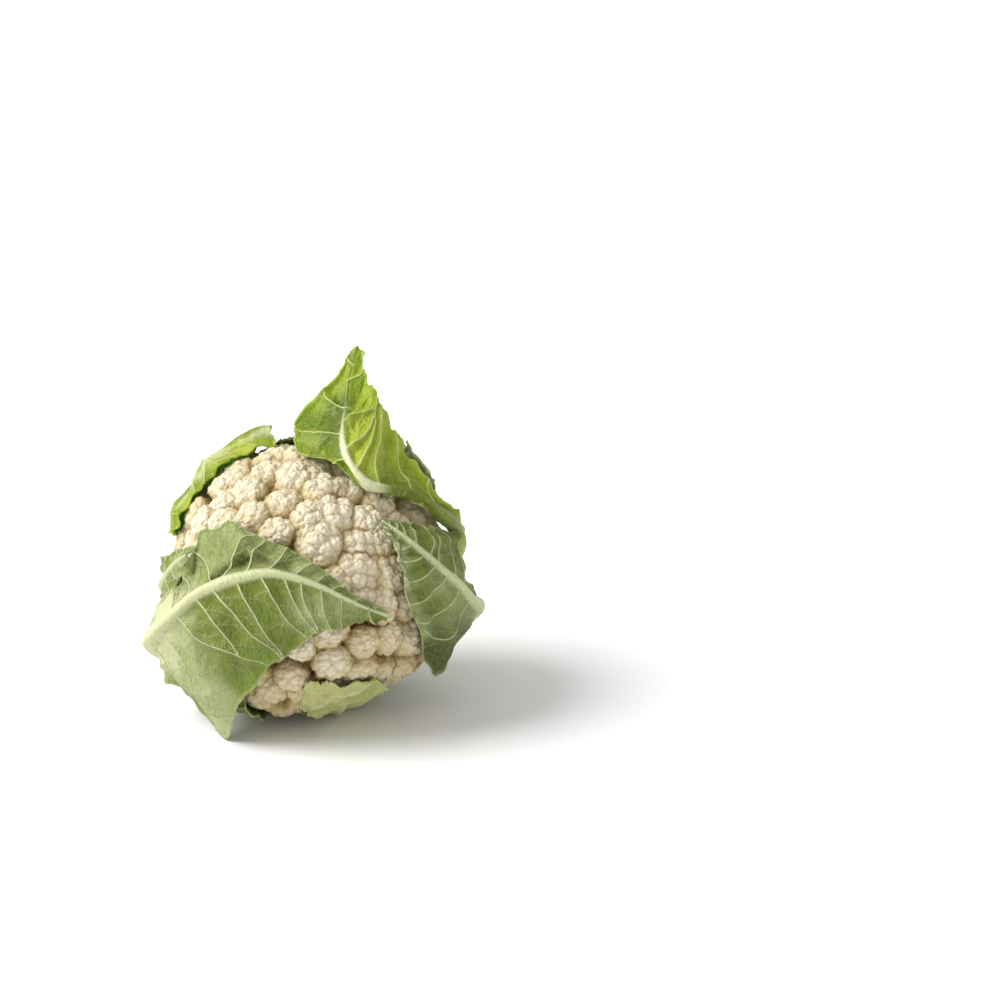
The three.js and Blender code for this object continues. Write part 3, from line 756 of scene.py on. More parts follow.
class CAULIFLOWER_OT_curd(Operator):
    """Grows the white head: florets in a spiral, buds on them and bumps on the buds"""

    bl_idname = "cauliflower.curd"
    bl_label = "Curd"

    def execute(self, context):
        looks = context.scene.cauliflower_curd
        white = curd_material(looks)
        ball = self.ball(looks.fineness)
        dirs = unit(read_points(ball.data))
        tree = point_tree(dirs)
        most = roof(dirs)
        names = ("florets_crown", "florets_left", "florets_right", "florets_upper")
        levels = [self.draw_out(dirs, tree, spheres, len(names)) for spheres in self.spheres(looks)]
        smooth, budded, grainy = (np.minimum(reaches, most) for reaches, _, _ in levels)
        grainy = np.maximum(grainy, budded - looks.bump_depth / MM)
        patches = 0.5 + 0.5 * np.sin(dirs @ PATCH_WAVE + 2 * np.sin(dirs @ PATCH_SWIRL))
        low = smoothstep(down_of(dirs), LOW_FROM, LOW_TO)
        open_to = looks.openness * (OPEN_LEAST + OPEN_MORE * patches) * (1 - LOW_CLOSED * low)
        gap = most - smooth.max(0)
        reaches = budded - looks.bump_share * (budded - grainy)
        reaches = reaches + gap - open_to * gap * np.minimum(np.sqrt(gap / WIDE_GAP), WIDE_MOST)
        highest = reaches.max(0)
        _, bud_lead, floret_lead = levels[1]
        # These attributes mark where the curd's material paints shade: hollows between buds, creases and gaps
        # between florets, and its lower side.
        values = {"crease": floret_lead + 0.9 * (1 - patches), "hollow": bud_lead, "deep": gap, "low": low}
        for name, reach, lobe in zip(names, reaches, smooth):
            piece = ball.copy()
            piece.data = ball.data.copy()
            context.collection.objects.link(piece)
            write_points(piece.data, lay_down(dirs * reach[:, None]))
            write_attributes(piece.data, values)
            self.drop(piece, (reach < highest - CREASE_DEPTH) | (lobe < 1))
            finish_piece(piece, name, "curd", "curd", white)
        bpy.data.objects.remove(ball)
        self.flesh(white)
        return {"FINISHED"}

    def ball(self, cuts):
        """A fine ball with more of its faces towards the top."""
        ball = add(bpy.ops.mesh.primitive_ico_sphere_add, subdivisions=1, radius=1)
        for _ in range(2):
            bpy.ops.object.mode_set(mode="EDIT")
            bpy.ops.mesh.select_all(action="SELECT")
            bpy.ops.mesh.subdivide(number_cuts=cuts)
            bpy.ops.object.mode_set(mode="OBJECT")
            write_points(ball.data, unit(read_points(ball.data)))
        dirs = read_points(ball.data)
        angle = down_of(dirs)
        angle = angle - CURD_DENSER * np.sin(angle) * np.sin(angle / 2) ** 2
        write_points(ball.data, direction(np.arctan2(dirs[:, 0], dirs[:, 1]), angle))
        return ball

    def spheres(self, looks):
        """The spheres of three levels: florets, then buds, then bumps."""
        n = np.arange(looks.florets)
        angles, turns = spiral(looks.florets, FLORET_LIMIT)
        downs = angles + FLORET_STRAY[0] * (chance(n) - 0.5)
        arounds = turns + FLORET_STRAY[1] * (chance(n + 500) - 0.5)
        poles = direction(arounds, downs)
        small, large = looks.smallest / MM, looks.largest / MM
        radii = small + (large - small) * chance(n + 1000) ** MORE_SMALL
        middles = poles * (roof(poles) - radii - FLORET_SINK * chance(n + 1500))[:, None]
        third = np.floor((np.degrees(arounds) + 60) % 360 / 120).astype(int)
        group = np.where(downs < CROWN_TO, 0, np.array([3, 2, 1])[third])
        bud = radii[:, None] * BUD_SHARE
        bud_angles, bud_turns = spiral(looks.buds, BUD_LIMIT)
        b = np.arange(looks.buds)
        leans = leaning(poles[:, None], bud_angles[None], bud_turns + FULL_TURN * chance(n + 2000)[:, None])
        sizes = bud * some(BUD_SIZE, n[:, None] * 31 + b + 3000)
        seats = middles[:, None] + leans * (radii[:, None] - sizes)[..., None]
        bump_angles, bump_turns = spiral(looks.bumps, BUMP_LIMIT)
        seed = n[:, None, None] * 57 + b[:, None] * 13 + np.arange(looks.bumps)
        grains = sizes[..., None] * some(BUMP_SIZE, seed)
        spread = bump_angles * some(BUMP_SPREAD, seed + 7000)
        turned = bump_turns + FULL_TURN * chance(n[:, None] * 17 + b)[..., None]
        out = leaning(leans[:, :, None], spread, turned)
        tips = seats[:, :, None] + out * (sizes[..., None] - BUMP_SUNK * grains)[..., None]
        shrunk = sizes * some(BUD_BENEATH, n + 4000)[:, None]
        core = (middles, radii - 0.5 * bud[:, 0], group, n)
        bumps = (tips, grains, group[:, None, None], n[:, None, None])
        return [
            self.listed([(middles, radii, group, n)]),
            self.listed([core, (seats, sizes, group[:, None], n[:, None])]),
            self.listed([core, (seats, shrunk, group[:, None], n[:, None]), bumps]),
        ]

    def listed(self, parts):
        """One list of middles, radii, pieces and florets for several families of spheres."""
        columns = []
        for places, radii, owners, florets in parts:
            same = [np.broadcast_to(column, radii.shape).ravel() for column in (radii, owners, florets)]
            columns.append((places.reshape(-1, 3), *same))
        return tuple(np.concatenate(column) for column in zip(*columns))

    def draw_out(self, dirs, tree, spheres, pieces):
        """How far out each piece's spheres go in each direction.

        Also by how much the farthest sphere leads the next one, and the farthest floret the next.
        """
        reaches = np.zeros((pieces, len(dirs)))
        first, second, other = np.zeros(len(dirs)), np.zeros(len(dirs)), np.zeros(len(dirs))
        leader = np.full(len(dirs), -1)
        for middle, radius, owner, floret in zip(*spheres):
            far = np.linalg.norm(middle)
            chord = 2 * math.sin(math.asin(radius / far) / 2)
            index = [found[1] for found in tree.find_range(middle / far, chord)]
            if index:
                along = dirs[index] @ middle
                square = along ** 2 - far ** 2 + radius ** 2
                exits = along + np.sqrt(np.maximum(square, 0))
                held, same = first[index], leader[index] == floret
                passed = np.minimum(held, exits)
                reaches[owner, index] = np.maximum(reaches[owner, index], exits)
                second[index] = np.maximum(second[index], passed)
                other[index] = np.where(same, other[index], np.maximum(other[index], passed))
                leader[index] = np.where(exits > held, floret, leader[index])
                first[index] = np.maximum(held, exits)
        return reaches, first - second, first - other

    def drop(self, piece, unwanted):
        """Deletes some of a piece's points, and the scraps that this cuts off from its middle."""
        self.select_points(piece, unwanted)
        bpy.ops.mesh.delete(type="VERT")
        bpy.ops.mesh.select_all(action="SELECT")
        bpy.ops.mesh.delete_loose()
        bpy.ops.object.mode_set(mode="OBJECT")
        points = read_points(piece.data)
        away = np.linalg.norm(points - points.mean(0), axis=1)
        self.select_points(piece, away == away.min())
        bpy.ops.mesh.select_linked()
        bpy.ops.mesh.select_all(action="INVERT")
        bpy.ops.mesh.delete(type="VERT")
        bpy.ops.object.mode_set(mode="OBJECT")

    def select_points(self, piece, wanted):
        """Opens a piece for editing, with only these points selected."""
        only_select(piece)
        deselect_parts(piece.data)
        piece.data.vertices.foreach_set("select", wanted)
        bpy.context.tool_settings.mesh_select_mode = (True, False, False)
        bpy.ops.object.mode_set(mode="EDIT")

    def flesh(self, white):
        """The flesh between the florets and under them."""
        piece = add(bpy.ops.mesh.primitive_ico_sphere_add, subdivisions=6, radius=1)
        dirs = unit(read_points(piece.data))
        under = smoothstep(down_of(dirs), FLORET_LIMIT, FLORET_LIMIT + UNDERSIDE_WIDE)
        depth = CORE_DEPTH + (UNDERSIDE_DEPTH - CORE_DEPTH) * under
        write_points(piece.data, lay_down(dirs * (roof(dirs) - depth)[:, None]))
        # The flesh seen in the gaps between florets gets painted deep shade; underneath it keeps the cream
        # colour.
        values = {"crease": 2 * under, "hollow": 2 * under, "deep": 8 * (1 - under), "low": 1 - under}
        write_attributes(piece.data, values)
        finish_piece(piece, "curd_flesh", "curd", "curd", white)


class Blade:
    """The middle surface of one leaf's blade: a place for each share along it and across it."""

    def __init__(self, leaf, under):
        self.leaf = leaf
        self.lines = [np.array([self.point(s, side) for s in leaf.stations]) for side in (0, 1, -1)]
        self.bulges = np.array([s[3] if len(s) > 3 else 0.0 for s in leaf.stations])
        spine = self.spline(0, np.linspace(0, 1, 200))
        self.length = np.linalg.norm(np.diff(spine, axis=0), axis=1).sum()
        self.push = None
        self.push = self.laid_over(under)

    def point(self, station, side):
        around, down, lift = station[0]
        if side:
            edge = station[1] if side == 1 else station[2]
            if isinstance(edge, tuple):
                around, down, lift = edge
            else:
                out = (envelope(math.radians(down)) + lift) * math.sin(math.radians(down))
                around += side * math.degrees(edge / out)
        around, down = math.radians(around), math.radians(down)
        return direction(around, down) * (envelope(down) + lift)

    def spline(self, side, t):
        """Places along one of the lines, by a centripetal Catmull-Rom curve."""
        points = self.lines[side]
        at = np.asarray(t) * (len(points) - 1)
        first = np.clip(np.floor(at).astype(int), 0, len(points) - 2)
        w = (at - first)[:, None]
        padded = np.vstack([2 * points[0] - points[1], points, 2 * points[-1] - points[-2]])
        p0, p1, p2, p3 = (padded[first + k] for k in range(4))
        pairs = ((p0, p1), (p1, p2), (p2, p3))
        d0, d1, d2 = (np.sqrt(np.linalg.norm(b - a, axis=1))[:, None] for a, b in pairs)
        m1 = ((p1 - p0) / d0 - (p2 - p0) / (d0 + d1) + (p2 - p1) / d1) * d1
        m2 = ((p2 - p1) / d1 - (p3 - p1) / (d1 + d2) + (p3 - p2) / d2) * d1
        square = -3 * p1 + 3 * p2 - 2 * m1 - m2
        cube = 2 * p1 - 2 * p2 + m1 + m2
        return p1 + m1 * w + square * w ** 2 + cube * w ** 3

    def row(self, t):
        """The spine, both edges, both widths and the rib's half-width at each t."""
        spine, grow, shrink = (self.spline(side, t) for side in (0, 1, -1))
        half = RIB_HALF[0] + (RIB_HALF[1] - RIB_HALF[0]) * t
        spans = [np.maximum(np.linalg.norm(edge - spine, axis=1), half + RIM) for edge in (grow, shrink)]
        return spine, grow, shrink, spans, half

    def place(self, t, f):
        """Places for flat arrays of t and f."""
        unique, back = np.unique(t, return_inverse=True)
        spine, grow, shrink, _, _ = self.row(unique)
        edge = np.where((f > 0)[:, None], grow[back], shrink[back])
        spine = spine[back]
        share = np.abs(f)[:, None]
        side = np.where(f > 0, 1.0, -1.0)
        dirs = unit(unit(spine) * (1 - share) + unit(edge) * share)
        lifts = [np.linalg.norm(p, axis=1) - envelope(down_of(unit(p))) for p in (spine, edge)]
        share = share[:, 0]
        at = unique * (len(self.bulges) - 1)
        bulge = np.interp(at, np.arange(len(self.bulges)), self.bulges)[back]
        wave = self.leaf.ruffle * share ** 2 * np.sin(t * self.leaf.rows * RUFFLE_TURN + side * RUFFLE_SHIFT)
        lift = lifts[0] * (1 - share) + lifts[1] * share + wave * np.minimum(1, t * 2)
        lift = lift + np.where(f > 0, bulge * np.sin(math.pi * share), 0)
        base = envelope(down_of(dirs))
        reach = base + np.maximum(lift, roof(dirs) - base + LEAST_LIFT)
        if self.push is not None:
            reach = reach + self.pushed(t, f)
        return dirs * reach[:, None]

    def notched(self, span, half, t, roughness):
        """The width of a side once its edge goes in and out, by a roughness from 0 to 1."""
        notch = NOTCH * np.minimum(1, 3 * t) * (2 * roughness - 1)
        return np.maximum(span + notch, half + RIM)

    def laid_over(self, under):
        """How far the blade is pushed out at each row and column of the solid by what lies beneath."""
        rows, steps = self.leaf.rows, self.leaf.steps
        t = np.arange(rows + 1) / rows
        _, _, _, spans, half = self.row(t)
        shares = []
        for side, span in zip((1, -1), spans):
            wide = self.notched(span, half, t, chance(np.arange(rows + 1) + 50 * side))
            marks = [half / 2, half] + [half + (wide - half) * k / steps for k in range(1, steps + 1)]
            shares.append([side * mark / span for mark in marks])
        self.columns = np.array(shares[0][::-1] + [np.zeros(rows + 1)] + shares[1])
        flat_t = np.repeat(t[None], len(self.columns), 0).ravel()
        places = self.place(flat_t, self.columns.ravel())
        reach = np.linalg.norm(places, axis=1)
        need = np.array([self.highest(pole, under) for pole in unit(places)])
        least = np.where(need > 0, need + CAD_BLADE / 2 + LEAF_GAP, 0)
        return np.maximum(least - reach, 0).reshape(self.columns.shape)

    def highest(self, pole, under):
        """How far out the leaves beneath reach, in one direction and close round it."""
        tilted = leaning(pole, np.full(6, math.radians(3)), np.arange(6) * math.pi / 3)
        reach = 0.0
        for look in np.vstack([pole, tilted]) if under else ():
            out = Vector(look @ LAID.T)
            start = Vector(HEAD_AT) + out * FARTHEST
            for tree in under:
                hit = tree.ray_cast(start, -out)[3]
                if hit is not None and hit < FARTHEST:
                    reach = max(reach, (FARTHEST - hit) / MM)
        return reach

    def pushed(self, t, f):
        """The push at any place, between the solid's rows and columns."""
        rows = self.leaf.rows
        at = np.clip(t * rows, 0, rows)
        first = np.minimum(np.floor(at).astype(int), rows - 1)
        result = np.zeros(len(t))
        for offset in (0, 1):
            weight = at - first if offset else 1 - (at - first)
            for r in np.unique(first):
                mine = first == r
                columns = self.columns[::-1, r + offset]
                push = self.push[::-1, r + offset]
                result[mine] += weight[mine] * np.interp(f[mine], columns, push)
        return result

    def widths(self, t, f):
        """The width of the blade on each place's side, and the rib's half-width there."""
        unique, back = np.unique(t, return_inverse=True)
        _, _, _, spans, half = self.row(unique)
        return np.where(f > 0, spans[0][back], spans[1][back]), half[back]

    def edge_share(self, t, f):
        """Where a place of the even grid goes once the edge is cut into teeth."""
        span, half = self.widths(t, f)
        side = np.where(f > 0, 1, -1)
        row = t * self.leaf.rows
        first = np.floor(row)
        rough = chance(first + 50 * side) * (1 - row + first) + chance(first + 1 + 50 * side) * (row - first)
        wide = self.notched(span, half, t, rough)
        along = t * self.length
        seed = self.leaf.seed + side
        teeth = ripple(along / TOOTH, seed) - 0.5 + 1.1 * (ripple(along / COARSE_TOOTH, seed + 30) - 0.5)
        teeth = self.leaf.teeth * teeth * np.minimum(1, 2.5 * t) * np.abs(f) ** 5
        share = f * (wide / span) + side * np.clip(teeth, -0.3 * wide, 0.3 * wide) / span
        return np.clip(share, -1.4, 1.4)


class Veins:
    """Side veins that leave the midrib, fork, thin out and end where they meet another."""

    STEP = 0.8  # between a vein's points, in millimetres
    CELL = 1.6
    CLOSEST = 1.1
    THINNEST = (0.2, 0.16, 0.13)  # half-width at which a vein of each order ends
    ROWS, COLUMNS = 160, 81

    def __init__(self, blade, leaf):
        self.pick = random.Random(leaf.seed)
        self.blade = blade
        t = np.linspace(0, 1, self.ROWS)
        f = np.linspace(-1, 1, self.COLUMNS)
        table = blade.place(np.repeat(t, self.COLUMNS), np.tile(f, self.ROWS))
        self.table = table.reshape(self.ROWS, self.COLUMNS, 3)
        along = np.gradient(self.table, axis=0) * (self.ROWS - 1)
        across = np.gradient(self.table, axis=1) * (self.COLUMNS - 1) / 2
        self.per_t = np.maximum(np.linalg.norm(along, axis=2), 20)
        way = along / self.per_t[..., None]
        self.skew = (across * way).sum(2)
        self.per_f = np.maximum(np.linalg.norm(across - way * self.skew[..., None], axis=2), 3)
        self.normals = unit(np.cross(-across, along))
        self.taken = {}
        self.lines = []
        self.grow(leaf.laterals, leaf.slant, leaf.bend)

    def grow(self, count, slant, bend):
        waiting = []
        for side in (1, -1):
            for i in range(count):
                step = i + 0.25 + (0.5 if side > 0 else 0) + self.pick.uniform(-0.2, 0.2)
                start = 0.1 + 0.87 * step / count
                half = 0.95 * (1.1 - 0.6 * start)
                angle = self.pick.uniform(*slant)
                waiting.append((start, side * 0.03, side, angle, bend, half, 150, 1))
        while waiting:
            waiting = [child for vein in waiting for child in self.follow(*vein)]

    def cell(self, place):
        return tuple(int(c // self.CELL) for c in place)

    def blocked(self, place, own):
        """Whether another vein runs close by."""
        x, y, z = self.cell(place)
        for near in itertools.product((x - 1, x, x + 1), (y - 1, y, y + 1), (z - 1, z, z + 1)):
            for other, line in self.taken.get(near, ()):
                if line not in own and (other - place).length < self.CLOSEST:
                    return True
        return False

    def nearest(self, t, f):
        """The row and the column of the table that are nearest to a place."""
        row = round(t * (self.ROWS - 1))
        column = round((f + 1) / 2 * (self.COLUMNS - 1))
        return max(0, min(row, self.ROWS - 1)), max(0, min(column, self.COLUMNS - 1))

    def follow(self, t, f, side, angle, bend, half, reach, order, parent=-1):
        """Lets one vein grow, keeps it, and gives back the ones that fork from it."""
        me = len(self.lines)
        line, children = [], []
        gone = 0.0
        main = order == 1
        spacing = (4.5, 9) if main else (3.5, 6)
        fork = self.pick.uniform(*spacing)
        way = self.pick.choice((-1, 1))
        while gone < reach and half > self.THINNEST[order - 1]:
            at = self.nearest(t, f)
            place = Vector(self.table[at])
            if gone > 3 and self.blocked(place, (me, parent)):
                break
            line.append((t, f, half))
            df = side * math.sin(angle) * self.STEP / self.per_f[at]
            dt = (math.cos(angle) * self.STEP - df * self.skew[at]) / self.per_t[at]
            t += dt
            f += df
            if not 0.02 < t < 0.995 or not 0.01 <= side * f <= 0.99:
                break
            self.taken.setdefault(self.cell(place), []).append((place, me))
            angle = max(angle + bend * self.STEP + self.pick.gauss(0, 0.03), -0.4)
            half *= 0.986 if main else 0.975
            gone += self.STEP
            if order < 3 and gone > fork:
                turn = way * self.pick.uniform(0.6, 1.0)
                far = self.pick.uniform(14, 34) if main else self.pick.uniform(4, 12)
                thinner = half * (0.62 if main else 0.75)
                children.append((t, f, side, angle + turn, -turn * 0.015, thinner, far, order + 1, me))
                fork += self.pick.uniform(*spacing)
                way = -way
        if len(line) > 2:
            self.lines.append((order, line))
        return children

    def measure(self, points, orders):
        """The distance from each point to the nearest of these veins, signed by side, and its half-width."""
        parts = []
        for order, line in self.lines:
            if order in orders:
                t, f, half = np.array(line).T
                places = self.blade.place(t, f)
                ways = unit(np.gradient(places, axis=0) + 1e-9)
                parts.append((places, half, ways, [self.normals[self.nearest(*at[:2])] for at in line]))
        where, halves, ways, normals = (np.concatenate(part) for part in zip(*parts))
        tree = point_tree(where)
        nearest = np.array([tree.find(point)[1] for point in points])
        off = points - where[nearest]
        way = ways[nearest]
        along = (off * way).sum(1)
        beside = (off * np.cross(way, normals[nearest])).sum(1)
        past = np.maximum(np.abs(along) - self.STEP, 0)
        return np.sign(beside) * np.hypot(beside, past), halves[nearest]


class CAULIFLOWER_OT_leaf(Operator):
    """Unfolds one jacket leaf: blade, rib, side veins and a toothed edge"""

    bl_idname = "cauliflower.leaf"
    bl_label = "Jacket leaf"
    leaf_name: StringProperty(name="Leaf", description="Which leaf to make", default="leaf_front_left")

    def execute(self, context):
        looks = context.scene.cauliflower_leaf
        leaf = LEAVES[self.leaf_name]
        names = list(LEAVES)
        below = names[: names.index(self.leaf_name)]
        blade = Blade(leaf, [self.tree(frame["nodes"][name].data) for name in below])
        along, across = leaf.fine
        piece = add(bpy.ops.mesh.primitive_grid_add, x_subdivisions=across, y_subdivisions=along, size=2)
        flat = read_points(piece.data)
        even = -flat[:, 0]
        t = self.torn(leaf, blade, (flat[:, 1] + 1) / 2, even)
        f = blade.edge_share(t, even)
        places = blade.place(t, f)
        normal = self.normals(blade, t, f)
        width, half = blade.widths(t, f)
        beside = np.abs(f) * width
        veins = Veins(blade, leaf)
        side_away, side_half = veins.measure(places, (1,))
        fine_away, fine_half = veins.measure(places, (2, 3))
        edge = smoothstep(np.abs(even), MARGIN_FROM, 1.0)
        rib_away = np.maximum(beside - half, 0)
        away = np.minimum(np.abs(side_away), rib_away)
        pillow = (1 - bell(away, PILLOW_REACH)) * (1 - 0.6 * edge)
        dimple = DIMPLE * bell(fine_away, DIMPLE_REACH) * pillow
        sway = ripple(t * blade.length / SWAY_LENGTH, leaf.seed + 80) + ripple(f * 5 + 30, leaf.seed + 90) - 1
        lift = leaf.quilt * (pillow - dimple) + SWAY * sway * smoothstep(rib_away, 0, 8)
        tone, sink = self.stroked(leaf, blade, places)
        places = places - normal * (looks.pillow / MM * lift + sink)[:, None]
        rib = RIB_HEIGHT[0] + (RIB_HEIGHT[1] - RIB_HEIGHT[0]) * np.sqrt(t)
        stout = half * leaf.stout * (RIB_WIDE[0] - RIB_WIDE[1] * t)
        stout = stout * (1 - RIB_FADED * smoothstep(t, *leaf.fades))
        rib = RIB_SWELL * rib * np.exp(-((beside / (RIB_REACH * stout)) ** RIB_STEEP))
        thick = looks.blade / MM
        covered = 1 - smoothstep(beside / stout, 0.6, 1.2)
        vein = looks.vein / MM * bell(side_away, side_half + VEIN_FOOT) * (1 - covered)
        outer = lay_down(places + normal * (thick / 2 + rib + vein)[:, None])
        inner = lay_down(places - normal * (thick / 2 + 0.2 * vein)[:, None])
        self.thicken(piece, looks)
        outer[:, 2] = np.maximum(outer[:, 2], 0)
        inner[:, 2] = np.maximum(inner[:, 2], looks.blade)
        write_points(piece.data, np.vstack([outer, inner]))
        ribbed = 1 - smoothstep(beside / stout, 0.75, 1.4)
        ribbed = ribbed * smoothstep(t, leaf.bare - 0.04, leaf.bare + 0.02)
        bloom = np.where(f > 0, *leaf.bloom)
        bloom = 0.5 + (bloom - 0.5) * smoothstep(beside, 0, 6) + 0.35 * (1 - smoothstep(t, 0.3, 0.55))
        values = {
            "side_vein": np.clip(side_away / side_half, -15, 15),
            "fine_vein": np.clip(fine_away / fine_half, -15, 15),
            "rib": ribbed * (1 - 0.8 * smoothstep(t, *leaf.fades)),
            "covered": covered,
            "margin": 0.45 * edge,
            "bloom": bloom,
            "tone": np.clip(tone, -1, 1),
            "foot": 0.85 * (1 - smoothstep(t, 0.05, 0.42)) * (1 - smoothstep(beside, 6, 26)),
        }
        write_attributes(piece.data, {name: np.tile(value, 2) for name, value in values.items()})
        self.map_along(piece.data, np.tile(f * width, 2), np.tile(t * blade.length, 2))
        finishes = [self.finish_of(skin, looks) for skin in leaf.skins]
        slot = SLOTS.get(self.leaf_name, "leaf")
        finish_piece(piece, self.leaf_name + "_veined", slot, self.leaf_name, *finishes)
        return {"FINISHED"}

    def torn(self, leaf, blade, t, even):
        """The share along the leaf once its end is torn back."""
        torn = 0.6 * ripple(even * 5 + 20, leaf.seed + 60) + 0.4 * ripple(even * 19 + 90, leaf.seed + 61)
        return t * (1 - leaf.ragged / blade.length * torn * t ** 6)

    def stroked(self, leaf, blade, places):
        """What the leaf's strokes add at each place: their tone, mostly painted shade and painted light, and
        their depth.
        """
        tone, sink = np.zeros(len(places)), np.zeros(len(places))
        for start, end, wide, shade, depth in leaf.strokes:
            line = blade.place(*np.linspace(start, end, 13).T)
            weight = bell(beside_line(places, line), wide)
            tone += shade * weight
            sink += depth * weight
        return tone, sink

    def normals(self, blade, t, f):
        small = 0.002
        cross = blade.place(t, f - small) - blade.place(t, f + small)
        up = blade.place(np.minimum(t + small, 1), f) - blade.place(np.maximum(t - small, 0), f)
        return unit(np.cross(cross, up))

    def tree(self, mesh):
        points = [v.co.copy() for v in mesh.vertices]
        return BVHTree.FromPolygons(points, [tuple(p.vertices) for p in mesh.polygons])

    def thicken(self, piece, looks):
        """Gives the sheet its second face and its rim."""
        only_select(piece)
        solid = piece.modifiers.new("thickness", "SOLIDIFY")
        solid.thickness = looks.blade
        solid.material_offset = 1
        solid.material_offset_rim = 1
        bpy.ops.object.modifier_apply(modifier=solid.name)

    def map_along(self, mesh, u, v):
        """A UV map in metres, from the rib outwards and from the foot to the tip."""
        layer = mesh.uv_layers[0]
        layer.name = "along"
        corners = np.empty(len(mesh.loops), int)
        mesh.loops.foreach_get("vertex_index", corners)
        layer.data.foreach_set("uv", np.stack([u[corners], v[corners]], -1).astype(np.float32).ravel() * MM)

    def finish_of(self, skin, looks):
        """One of the leaves' finishes, made once each."""
        name = "leaf " + skin
        if name in bpy.data.materials:
            return bpy.data.materials[name]
        colours = [getattr(looks, skin + kind) for kind in ("", "_deep", "_vein", "_rib")]
        return leaf_material(name, colours, looks, *SKINS[skin])


class CAULIFLOWER_OT_stalk(Operator):
    """Turns the short stalk and its cut end"""

    bl_idname = "cauliflower.stalk"
    bl_label = "Stalk"

    def execute(self, context):
        looks = context.scene.cauliflower_stalk
        radius, bevel = looks.radius, looks.bevel
        low = -CURD_CENTRE * MM
        rise = (CURD_CENTRE - looks.top / MM) * MM
        size = dict(vertices=96, radius=radius, depth=rise, location=(0, 0, low + rise / 2))
        piece = add(bpy.ops.mesh.primitive_cylinder_add, end_fill_type="NGON", **size)
        bpy.ops.object.transform_apply(location=True, rotation=False, scale=False)
        self.ring_end(piece, low, looks, -1)
        self.ring_end(piece, low + rise, looks, 1)
        points = read_points(piece.data)
        around = np.arctan2(points[:, 1], points[:, 0])
        out = np.hypot(points[:, 0], points[:, 1])
        near_cut = points[:, 2] < low + 0.5 * rise
        into = np.clip((out - radius + bevel) / bevel, 0, 1)
        rounding = bevel * (1 - np.sqrt(1 - into ** 2))
        grooved = 1 - 0.02 * (0.5 + 0.5 * np.cos(around * 9)) * smoothstep(out, 0.8 * radius, radius)
        sunk = CUT_SUNK * (0.5 + 0.3 * np.sin(3 * around + 1) + 0.2 * np.sin(7 * around))
        points[:, 2] += near_cut * (rounding + sunk * (1 - (out / radius) ** 4))
        points[:, :2] *= grooved[:, None]
        cut = near_cut * smoothstep(-out, -0.99 * radius, -0.95 * radius)
        write_attributes(piece.data, {"cut": cut, "out": np.clip(out / radius, 0, 1)})
        write_points(piece.data, lay_down(points / MM))
        finish_piece(piece, "stalk_cut", "stalk", "stalk", stalk_material(looks))
        return {"FINISHED"}

    def ring_end(self, piece, level, looks, way):
        """Lays rings on one end of the stalk; the upper end is hollowed under the curd."""
        only_select(piece)
        deselect_parts(piece.data)
        bpy.context.tool_settings.mesh_select_mode = (False, False, True)
        for face in piece.data.polygons:
            face.select = face.normal.z * way > 0.9 and abs(face.center.z - level) < 0.0005
        bpy.ops.object.mode_set(mode="EDIT")
        for share in RIM_RINGS:
            bpy.ops.mesh.inset(thickness=share * looks.bevel)
        for _ in range(END_RINGS):
            bpy.ops.mesh.inset(thickness=looks.radius / 7, depth=-END_SUNK if way > 0 else 0)
        bpy.ops.object.mode_set(mode="OBJECT")


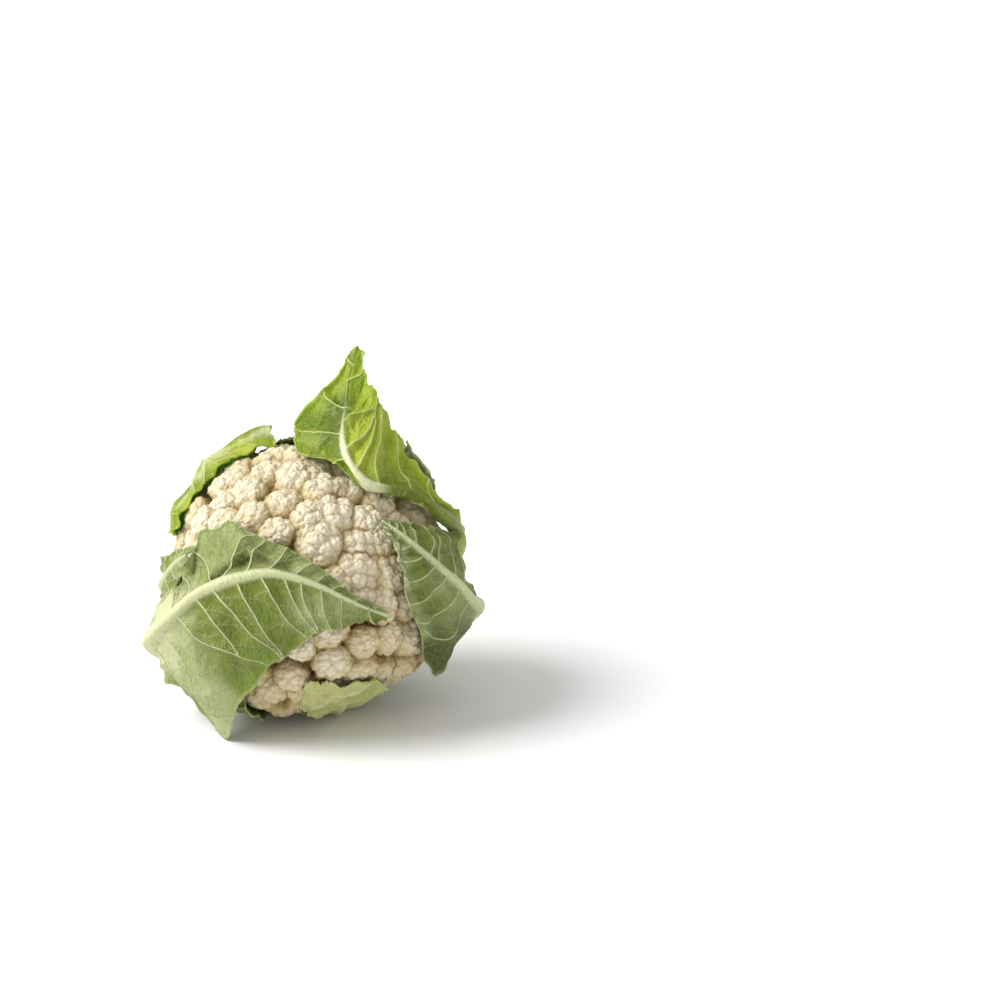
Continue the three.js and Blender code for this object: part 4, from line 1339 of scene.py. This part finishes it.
class CAULIFLOWER_OT_stage(Operator):
    """Sets the pale floor, the soft lights and the camera"""

    bl_idname = "cauliflower.stage"
    bl_label = "Stage"

    def execute(self, context):
        looks = context.scene.cauliflower_stage
        self.floor(looks)
        self.lights(context, looks)
        self.camera(context, looks)
        context.scene.view_settings.view_transform = "Standard"
        return {"FINISHED"}

    def floor(self, looks):
        floor = add(bpy.ops.mesh.primitive_plane_add, size=looks.floor_size)
        floor.name = "floor"
        floor.data.materials.append(Recipe("floor").finish(Base_Color=looks.floor, Roughness=0.9))

    def lights(self, context, looks):
        world = bpy.data.worlds.new("surroundings")
        world.use_nodes = True
        sky = world.node_tree.nodes["Background"]
        sky.inputs["Color"].default_value = (1, 1, 1, 1)
        sky.inputs["Strength"].default_value = looks.sky
        context.scene.world = world
        self.lamp("key", KEY_FROM, looks.key, looks.softness)
        self.lamp("fill", FILL_FROM, looks.fill, 2 * looks.softness)

    def lamp(self, name, place, strength, softness):
        lamp = add(bpy.ops.object.light_add, type="SUN", location=place)
        lamp.name = name
        lamp.data.energy = strength
        lamp.data.angle = softness
        lamp.rotation_euler = (-lamp.location).to_track_quat("-Z", "Y").to_euler()

    def camera(self, context, looks):
        """Looks down at the head, which lies left of the picture's middle and below it."""
        camera = add(bpy.ops.object.camera_add)
        camera.name = "camera"
        camera.data.lens = looks.lens
        camera.data.sensor_width = SENSOR
        camera.data.clip_end = 50
        forward = Vector((0, math.cos(LOOK_DOWN), -math.sin(LOOK_DOWN)))
        upward = Vector((0, math.sin(LOOK_DOWN), math.cos(LOOK_DOWN)))
        per_pixel = looks.distance / (PICTURE * looks.lens / SENSOR)
        right = (PICTURE / 2 - CURD_PIXEL[0]) * per_pixel
        up = (CURD_PIXEL[1] - PICTURE / 2) * per_pixel
        camera.location = Vector(HEAD_AT) - forward * looks.distance + Vector((right, 0, 0)) + upward * up
        camera.rotation_euler = (math.pi / 2 - LOOK_DOWN, 0, 0)
        bpy.context.scene.camera = camera


class CAULIFLOWER_PT_panel(Panel):
    """Lists what the cauliflower is made of"""

    bl_idname = "CAULIFLOWER_PT_panel"
    bl_label = "Cauliflower"
    bl_space_type = "VIEW_3D"
    bl_region_type = "UI"
    bl_category = "Cauliflower"

    def draw(self, context):
        for name in SETTINGS:
            settings = getattr(context.scene, "cauliflower_" + name)
            box = self.layout.box()
            box.operator("cauliflower." + name)
            for field in settings.bl_rna.properties:
                if field.identifier not in ("rna_type", "name"):
                    box.prop(settings, field.identifier)


SETTINGS = {"curd": CurdSettings, "leaf": LeafSettings, "stalk": StalkSettings, "stage": StageSettings}
CLASSES = [
    *SETTINGS.values(),
    CAULIFLOWER_OT_curd,
    CAULIFLOWER_OT_leaf,
    CAULIFLOWER_OT_stalk,
    CAULIFLOWER_OT_stage,
    CAULIFLOWER_PT_panel,
]


def register():
    for made in CLASSES:
        bpy.utils.register_class(made)
    for name, settings in SETTINGS.items():
        setattr(bpy.types.Scene, "cauliflower_" + name, PointerProperty(type=settings))


def unregister():
    for name in SETTINGS:
        delattr(bpy.types.Scene, "cauliflower_" + name)
    for made in reversed(CLASSES):
        bpy.utils.unregister_class(made)


def main():
    """Builds the cauliflower and its stage."""
    register()
    bpy.ops.cauliflower.curd()
    bpy.ops.cauliflower.stalk()
    for name in LEAVES:
        bpy.ops.cauliflower.leaf(leaf_name=name)
    bpy.ops.cauliflower.stage()
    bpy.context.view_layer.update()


if __name__ == "__main__":
    main()
